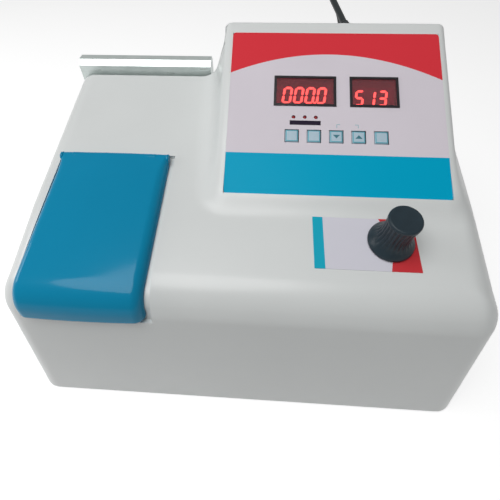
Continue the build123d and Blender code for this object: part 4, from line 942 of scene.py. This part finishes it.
def key_cap(name, across, high):
    """A key: a rounded square whose top swells a little, its height falling off round the rim."""
    side, low = KEY_HALF, KEY_FOOT
    u = edge_spaced(2 * side, 26, 1.2) - side
    a, b = np.meshgrid(u, u, indexing="ij")
    fall = rounded_ends(a + side, 2 * side, 1.0) * rounded_ends(b + side, 2 * side, 1.0)
    swell = KEY_SWELL * (1 - (a / side) ** 2) * (1 - (b / side) ** 2)
    past_a, past_b = (np.clip(np.abs(value) - side + KEY_CORNER, 0, None) for value in (a, b))
    corner = np.clip(np.hypot(past_a, past_b) - KEY_CORNER, 0, None)
    top = low + (high - KEY_SWELL - low + swell) * fall
    scale = 1 - corner / np.maximum(np.hypot(a, b), 1e-6)
    points = np.stack([a * scale, b * scale, top], axis=-1)
    base = points.copy()
    base[..., 2] = low - 0.2
    uv = np.stack([(a + side) / (2 * side), (b + side) / (2 * side)], axis=-1)
    place = on_face(np.concatenate([points, base]) + [across, KEY_UP, 0])
    return closed(name, [(place, shell_cells(len(u), len(u)))], uvs=[uv, uv], sharp=50)


# Digits: lit bars of each figure, the place of its dot, and a bar's size as a share of the height
SEGMENTS = {"0": "abcdef", "1": "bc", "3": "abcdg", "5": "acdfg"}
SLANT = math.tan(math.radians(8.0))
DIGIT_WIDTH, BAR_WIDTH, BAR_GAP = 0.43, 0.15, 0.12
DOT_PLACE, DOT_RADIUS = -0.17, 0.55
DIGIT_LEVEL = -2.36
# Each display: its text, its left end, the pitch of its figures, their foot and their height
DISPLAYS = (("000.0", -46.2, 10.1, 7.6, 14.8), ("513", 17.6, 10.1, 6.4, 13.8))


def digit_bars(text, left, pitch, low, height, lit_ones):
    """The bars of a row of seven segment digits: six-cornered plates that lean to the right."""
    width, bar, half = height * DIGIT_WIDTH, height * BAR_WIDTH, height / 2
    ends = {"a": ((0, height), (width, height)), "b": ((width, half), (width, height)),
            "c": ((width, 0), (width, half)), "d": ((0, 0), (width, 0)), "e": ((0, 0), (0, half)),
            "f": ((0, half), (0, height)), "g": ((0, half), (width, half))}
    grids = []
    place = left
    for character in text:
        if character == ".":
            if lit_ones:
                dot = disc(bar * DOT_RADIUS, 12) + [place + pitch * DOT_PLACE, low]
                grids.append(plate(dot))
            continue
        for key, (start, end) in ends.items():
            if (key in SEGMENTS[character]) != lit_ones:
                continue
            start, end = np.array(start, float), np.array(end, float)
            along = (end - start) / np.linalg.norm(end - start)
            side = np.array([-along[1], along[0]]) * bar / 2
            start, end = start + along * bar * BAR_GAP, end - along * bar * BAR_GAP
            tip = along * bar / 2
            ring = np.array([start, start + tip - side, end - tip - side,
                             end, end - tip + side, start + tip + side])
            ring[:, 0] += ring[:, 1] * SLANT + place
            ring[:, 1] += low
            grids.append(plate(ring))
        place += pitch
    return grids


def plate(ring):
    """A thin plate behind the pod's face over a closed ring of points."""
    x, y = ring.T
    if (x * np.roll(y, -1) - y * np.roll(x, -1)).sum() < 0:
        ring = ring[::-1]
    points, cells = prism(ring, DIGIT_LEVEL, DIGIT_LEVEL + 0.25)
    return on_face(points), cells


# Mains lead
LEAD_RADIUS = 3.25
REST_Z = LEAD_RADIUS + 0.05
ARCH = ((334.0, 240.6), (362.0, 246.0), (391.0, 245.0), (415.0, 229.0), (431.0, 202.0))
DROP = ((115.0, 441.0, 170.0), (118.0, 446.0, 136.0), (119.0, 448.0, 100.0), (118.5, 447.5, 66.0),
        (117.5, 441.0, 36.0), (117.0, 424.0, 12.5), (117.0, 396.0, REST_Z + 0.3), (117.4, 374.0, REST_Z))
COIL_X, COIL_Y, COIL_OUTER = 72.0, 350.0, 45.0
COIL_PITCH, COIL_LAYER, COIL_TURNS, COIL_TAIL = 8.2, 7.0, 2, 14.0
BOOT_WALL, BOOT_LENGTH = (96.9, 274.3, 230.0), 33.0
BOOT_RINGS, RING_PITCH, RING_START = 6, 4.6, 5.0


def arch_x(y, z):
    """How far across the lead lies where it arches up behind the pod."""
    return 84.1 - 0.0706 * (y - 285.0) - 0.712 * (z - 247.0)


def boot_line():
    """The strain relief's base and tip and the direction in which the lead leaves it."""
    base = np.array(BOOT_WALL) + [0, 3.0, 0]
    first = np.array([arch_x(*ARCH[0]), *ARCH[0]])
    aim = (first - base) / np.linalg.norm(first - base)
    return base, base + aim * BOOT_LENGTH, aim


def coil_points(per_turn=24):
    """The coil's middle line: in on the lower layer, up a layer in half a turn, and out again.

    Radius falls by the pitch each turn, then grows; height eases from one layer to the next."""
    total = 2 * COIL_TURNS + 0.5
    turn = np.arange(0, total + 1e-9, 1 / per_turn)
    inner = COIL_OUTER - COIL_PITCH * COIL_TURNS
    share = np.clip((turn - COIL_TURNS) * 2, 0, 1)
    radius = np.where(turn <= COIL_TURNS, COIL_OUTER - COIL_PITCH * turn,
                      inner + COIL_PITCH * np.clip(turn - COIL_TURNS - 0.5, 0, None))
    height = REST_Z + COIL_LAYER * share * share * (3 - 2 * share)
    angle = -2 * math.pi * turn
    return np.stack([COIL_X + radius * np.cos(angle), COIL_Y + radius * np.sin(angle), height], axis=1)


def lead_curve(diameter):
    """The lead as one smooth line from the strain relief to the plug."""
    _, tip, _ = boot_line()
    arch = [(arch_x(y, z), y, z) for y, z in ARCH]
    coil = coil_points()
    end = coil[-1]
    tail = [end + [0, 7.0, 0], end + [0, COIL_TAIL, 0]]
    points = np.concatenate([[tip], arch, DROP, coil, tail])
    points[:, 1] -= MIDDLE_Y
    curve = bpy.data.curves.new("mains_lead", "CURVE")
    curve.dimensions = "3D"
    spline = curve.splines.new("NURBS")
    spline.points.add(len(points) - 1)
    spline.points.foreach_set("co", np.column_stack([points * MM, np.ones(len(points))]).ravel())
    spline.order_u = 3
    spline.use_endpoint_u = True
    spline.resolution_u = 8
    curve.bevel_depth = diameter / 2
    curve.bevel_resolution = 6
    curve.use_fill_caps = True
    piece = bpy.data.objects.new("mains_lead", curve)
    bpy.context.scene.collection.objects.link(piece)
    return piece


def strain_relief():
    """The moulded boot: a tapered sleeve with rings that let it bend, on a round flange."""
    base, tip, aim = boot_line()
    length = np.linalg.norm(tip - base)
    z = np.linspace(-1.5, length, 150)
    share = np.clip(z / length, 0, 1)
    radius = 7.0 - 2.75 * share
    ring = np.clip((z - RING_START) / RING_PITCH, 0, BOOT_RINGS)
    grooves = 0.7 * (0.5 - 0.5 * np.cos(2 * math.pi * ring)) ** 0.7
    radius = radius - grooves * ((z > RING_START) & (z < RING_START + RING_PITCH * BOOT_RINGS))
    radius[-5:] -= np.linspace(0, 0.6, 5)
    sleeve, cells = closed_turn(np.column_stack([radius, z]), 40)
    rim = [(9.4, 0.0), (10.0, 0.5), (10.0, 2.2), (9.2, 3.0), (6.5, 3.3)]
    flange, rim_cells = closed_turn(smooth_curve(rim, 24), 48)
    base_shift = np.array([0, -MIDDLE_Y, 0])
    wall = np.array(BOOT_WALL) + base_shift
    grids = [(along_axis(sleeve, base + base_shift, aim), cells),
             (along_axis(flange, wall, (0, 1, 0)), rim_cells)]
    return closed("strain_relief", grids, sharp=50)


def plug_body():
    """The moulded plug: a rounded rectangle that narrows to a ribbed sleeve at the lead."""
    coil_end = coil_points()[-1]
    start = coil_end + [0, COIL_TAIL - MIDDLE_Y, 0]
    # Stations along the plug: its ribbed sleeve, the widening, the body and the rounded end
    y = np.concatenate([np.linspace(0, 18, 46), np.linspace(18, 22, 10)[1:], np.linspace(22, 39.2, 22)[1:],
                        np.linspace(39.2, 40.0, 5)[1:]])
    grow = np.clip((y - 17.0) / 5.0, 0, 1)
    grow = grow * grow * (3 - 2 * grow)
    sleeve = 4.4 + 2.4 * np.clip(y / 18, 0, 1) - 0.5 * (0.5 - 0.5 * np.cos(2 * math.pi * y / 3.6)) * (y < 18)
    wide = sleeve * (1 - grow) + 13.0 * grow
    tall = sleeve * (1 - grow) + 10.2 * grow
    shrink = np.clip(y - 39.2, 0, None)
    wide, tall = wide - shrink, tall - shrink
    angle = np.linspace(0, 2 * math.pi, 64, endpoint=False)
    power = 2.0 + 3.0 * grow[:, None]
    c, s = np.cos(angle)[None, :], np.sin(angle)[None, :]
    reach = (np.abs(c) ** power + np.abs(s) ** power) ** (-1 / power)
    points = np.stack([start[0] + wide[:, None] * reach * c, start[1] + y[:, None] * np.ones(64),
                       start[2] + tall[:, None] * reach * s], axis=-1)
    rows = len(y)
    flat = points.reshape(-1, 3)
    caps = [np.arange(64)[None, :], (np.arange(64)[::-1] + (rows - 1) * 64)[None, :]]
    return closed("plug_body", [(flat, [quads(rows, 64, wrap_columns=True)] + caps)], sharp=50)


# Stage
WORLD_FILL, WORLD_MIRRORED = 0.12, 0.3
FLOOR_HALF, FLOOR_GLOW = 4000.0, 0.62
# Each lamp: its place, the point it shines on, its size in metres and its power in watts
LAMPS = {"overhead": ((-0.35, -0.4, 1.6), (0.0, 0.0, 0.1), 1.3, 18.0),
         "window": ((-1.4, 0.05, 0.62), (0, 0, 0.1), 0.6, 4.0)}
# The photograph's camera: focal length and centre in pixels, its place, and how it is turned, in degrees
PIXELS, FOCAL, CENTRE = 500, 355.6, (240.2, 226.9)
CAMERA_PLACE = (11.78, -94.53, 386.2)
CAMERA_TURN, CAMERA_DIP, CAMERA_ROLL = 5.02, 50.24, 1.62


def seen_share(tree, *rays):
    """1 for the kinds of ray that are named, as the camera's or a window's, and 0 for others."""
    path = add(tree, "ShaderNodeLightPath")
    share = path.outputs[f"Is {rays[0]} Ray"]
    for ray in rays[1:]:
        share = plus(tree, share, path.outputs[f"Is {ray} Ray"], clamp=True)
    return share


def studio_floor():
    """A pale floor that glows a little, so that it fades into the white behind it."""
    u = np.linspace(-FLOOR_HALF, FLOOR_HALF, 9)
    a, b = np.meshgrid(u, u, indexing="ij")
    level = np.stack([a, b, np.full(a.shape, -0.05)], axis=-1)
    floor = join_grids("floor", [(level, [quads(9, 9)[:, ::-1]])])
    material, tree, shader, place = start_material("studio_floor")
    cloud = speckle(tree, place.outputs["Object"], 400.0)
    tree.links.new(mixed(tree, cloud, linear("#cccccc"), linear("#c9c9c9")), shader.inputs["Base Color"])
    shader.inputs["Roughness"].default_value = 0.9
    shader.inputs["Specular IOR Level"].default_value = 0.1
    seen = seen_share(tree, "Camera", "Glossy", "Transmission")
    glow = add(tree, "ShaderNodeEmission", {"Color": (1, 1, 1, 1)})
    tree.links.new(times(tree, seen, FLOOR_GLOW), glow.inputs["Strength"])
    both = add(tree, "ShaderNodeAddShader", links={0: shader.outputs[0], 1: glow.outputs[0]})
    output = next(n for n in tree.nodes if n.type == "OUTPUT_MATERIAL")
    tree.links.new(both.outputs[0], output.inputs["Surface"])
    floor.data.materials.append(material)


def studio_world():
    """A white field behind the instrument, which lights it only softly."""
    world = bpy.data.worlds.new("studio_white")
    bpy.context.scene.world = world
    world.use_nodes = True
    tree = world.node_tree
    tree.nodes.clear()
    strength = times(tree, seen_share(tree, "Camera", "Transmission"), 1.0 - WORLD_FILL)
    strength = plus(tree, strength, WORLD_FILL)
    mirrored = times(tree, seen_share(tree, "Glossy"), WORLD_MIRRORED)
    strength = plus(tree, strength, mirrored)
    back = add(tree, "ShaderNodeBackground", {"Color": (1, 1, 1, 1)}, {"Strength": strength})
    add(tree, "ShaderNodeOutputWorld", links={"Surface": back.outputs[0]})


def studio_lamps():
    """Soft round lamps."""
    for name, (where, aim, size, power) in LAMPS.items():
        lamp = bpy.data.lights.new(name, "AREA")
        lamp.shape = "DISK"
        lamp.size = size
        lamp.energy = power
        piece = bpy.data.objects.new(name, lamp)
        bpy.context.scene.collection.objects.link(piece)
        point_at(piece, where, np.asarray(aim, float) - np.asarray(where, float))


def studio_camera():
    """The camera that took the photograph."""
    scene = bpy.context.scene
    eye = bpy.data.cameras.new("photo_view")
    eye.sensor_width = 36.0
    eye.lens = FOCAL / PIXELS * 36.0
    eye.shift_x = (PIXELS / 2 - CENTRE[0]) / PIXELS
    eye.shift_y = -(PIXELS / 2 - CENTRE[1]) / PIXELS
    eye.clip_start, eye.clip_end = 0.01, 50.0
    camera = bpy.data.objects.new("photo_view", eye)
    scene.collection.objects.link(camera)
    turn, dip, roll = (math.radians(v) for v in (CAMERA_TURN, CAMERA_DIP, CAMERA_ROLL))
    ahead = np.array([-math.sin(turn) * math.cos(dip), math.cos(turn) * math.cos(dip), -math.sin(dip)])
    right = np.array([math.cos(turn), math.sin(turn), 0.0])
    down = np.cross(ahead, right)
    across = math.cos(roll) * right + math.sin(roll) * down
    below = -math.sin(roll) * right + math.cos(roll) * down
    x, y, z = CAMERA_PLACE
    place_axes(camera, (x * MM, (y - MIDDLE_Y) * MM, z * MM), across, -below, -ahead)
    scene.camera = camera
    scene.view_settings.view_transform = "Standard"


def place_axes(piece, where, x, y, z):
    """Puts a lamp or camera at a point with its three axes."""
    turn = np.eye(4)
    turn[:3, 0], turn[:3, 1], turn[:3, 2], turn[:3, 3] = x, y, z, where
    piece.matrix_world = Matrix(turn.tolist())


def point_at(piece, where, aim):
    """Points a lamp's light along a direction."""
    back = -aim / np.linalg.norm(aim)
    x = np.cross([0, 0, 1.0] if abs(back[2]) < 0.99 else [0, 1.0, 0], back)
    x /= np.linalg.norm(x)
    place_axes(piece, where, x, np.cross(back, x), back)


# Operators
class SPECTRO_OT_finishes(bpy.types.Operator):
    """Make every material and dress the frame's own pieces"""
    bl_idname = "spectro.finishes"
    bl_label = "Finishes"

    def execute(self, context):
        finishes()
        node_dress()
        return {"FINISHED"}


class SPECTRO_OT_stage(bpy.types.Operator):
    """Add the floor, the lamps and the camera"""
    bl_idname = "spectro.stage"
    bl_label = "Stage"

    def execute(self, context):
        studio_floor()
        studio_world()
        studio_lamps()
        studio_camera()
        return {"FINISHED"}


class SPECTRO_OT_lead(bpy.types.Operator):
    """Add the mains lead, its strain relief and its plug"""
    bl_idname = "spectro.lead"
    bl_label = "Mains lead"

    def execute(self, context):
        thick = context.scene.spectro_sizes.lead_diameter
        lead = settle(lead_curve(thick), "lead_black", "instrument", "lead_black", "mains_cord", "cord_coil")
        boot = settle(strain_relief(), "lead_black", "instrument", "lead_black", "cord_gland")
        plug = settle(plug_body(), "lead_black", "instrument", "lead_black", "mains_plug")
        return {"FINISHED"}


class SPECTRO_OT_lid(bpy.types.Operator):
    """Add the sample lid and its hinge knuckles"""
    bl_idname = "spectro.lid"
    bl_label = "Sample lid"

    def execute(self, context):
        settle(lid_skin(), "lid_blue", "lid", "lid_blue", "sample_lid")
        settle(lid_barrels(), "lid_blue", "lid", "lid_blue")
        return {"FINISHED"}


class SPECTRO_OT_housing(bpy.types.Operator):
    """Add the moulded housing"""
    bl_idname = "spectro.housing"
    bl_label = "Housing"

    def execute(self, context):
        skin = housing_skin(context.scene.spectro_sizes.housing_wall / MM)
        settle(skin, "housing_white", "instrument", "housing_white", "housing_shell")
        return {"FINISHED"}


class SPECTRO_OT_knob(bpy.types.Operator):
    """Add the fluted wavelength knob"""
    bl_idname = "spectro.knob"
    bl_label = "Wavelength knob"

    def execute(self, context):
        flute = context.scene.spectro_sizes.flute_depth / MM
        settle(knob_shape(flute), "knob_black", "knob", "knob_black", "wavelength_knob")
        return {"FINISHED"}


class SPECTRO_OT_keys(bpy.types.Operator):
    """Add the five keys of the panel"""
    bl_idname = "spectro.keys"
    bl_label = "Keys"

    def execute(self, context):
        kinds = ("key_plain", "key_plain", "key_down", "key_up", "key_plain")
        high = context.scene.spectro_sizes.key_rise / MM
        for number, (across, kind) in enumerate(zip(KEY_ACROSS, kinds), 1):
            cap = key_cap(f"key_cap_{number}", across, high)
            settle(cap, kind, f"key_{number}", "key_blue", f"panel_key_{number}")
        return {"FINISHED"}


class SPECTRO_OT_digits(bpy.types.Operator):
    """Add the segments of the two displays"""
    bl_idname = "spectro.digits"
    bl_label = "Digits"

    def execute(self, context):
        for shown, word in ((True, "lit"), (False, "dark")):
            grids = [plate for display in DISPLAYS for plate in digit_bars(*display, shown)]
            piece = join_grids(f"{word}_segments", grids, sharp=30)
            settle(piece, f"{word}_digit", "instrument", "digit_module")
        return {"FINISHED"}


def size(name, description, millimetres):
    """A length that the panel shows."""
    return bpy.props.FloatProperty(name=name, description=description, default=millimetres * MM,
                                   unit="LENGTH", precision=5)


def tint(name, description, colour):
    """A colour that the panel shows."""
    return bpy.props.FloatVectorProperty(name=name, description=description, default=linear(colour), size=4,
                                         subtype="COLOR", min=0.0, max=1.0)


class SpectroSizes(bpy.types.PropertyGroup):
    """Sizes that a user would change"""
    lead_diameter: size("Lead diameter", "Thickness of the mains lead", 2 * LEAD_RADIUS)
    housing_wall: size("Housing wall", "Thickness of the moulded housing", 3.5)
    flute_depth: size("Flute depth", "How deep the flutes round the knob's waist are", 0.75)
    key_rise: size("Key rise", "How far a key stands over the film", 0.5)


class SpectroColours(bpy.types.PropertyGroup):
    """Colours and light that a user would change"""
    housing: tint("Housing", "Gelcoat of the housing", "#dfe2e1")
    lid: tint("Lid", "Gelcoat of the sample lid", "#008ab3")
    knob: tint("Knob", "Phenolic of the wavelength knob", "#26363f")
    film_red: tint("Film's upper field", "Ink over the arch of the panel's film", "#dd3a44")
    film_blue: tint("Film's lower bar", "Ink along the foot of the panel's film", "#02a6cc")
    digit_glow: bpy.props.FloatProperty(name="Digit glow", description="Light of the lit segments",
                                        default=2.6, min=0.0)


class SPECTRO_PT_panel(bpy.types.Panel):
    """Buttons for each group of pieces"""
    bl_label = "Spectrophotometer"
    bl_idname = "SPECTRO_PT_panel"
    bl_space_type = "VIEW_3D"
    bl_region_type = "UI"
    bl_category = "Spectrophotometer"

    def draw(self, context):
        scene = context.scene
        for group in (scene.spectro_sizes, scene.spectro_colours):
            for name in type(group).__annotations__:
                self.layout.prop(group, name)
        for step in STEPS:
            self.layout.operator(step.bl_idname)


STEPS = (SPECTRO_OT_finishes, SPECTRO_OT_stage, SPECTRO_OT_lead, SPECTRO_OT_housing, SPECTRO_OT_lid,
         SPECTRO_OT_knob, SPECTRO_OT_keys, SPECTRO_OT_digits)
CLASSES = (SpectroSizes, SpectroColours, *STEPS, SPECTRO_PT_panel)


def register():
    for one in CLASSES:
        bpy.utils.register_class(one)
    bpy.types.Scene.spectro_sizes = bpy.props.PointerProperty(type=SpectroSizes)
    bpy.types.Scene.spectro_colours = bpy.props.PointerProperty(type=SpectroColours)


def unregister():
    del bpy.types.Scene.spectro_sizes
    del bpy.types.Scene.spectro_colours
    for one in reversed(CLASSES):
        bpy.utils.unregister_class(one)


def main():
    register()
    for step in STEPS:
        group, name = step.bl_idname.split(".")
        getattr(getattr(bpy.ops, group), name)()


if __name__ == "__main__":
    main()
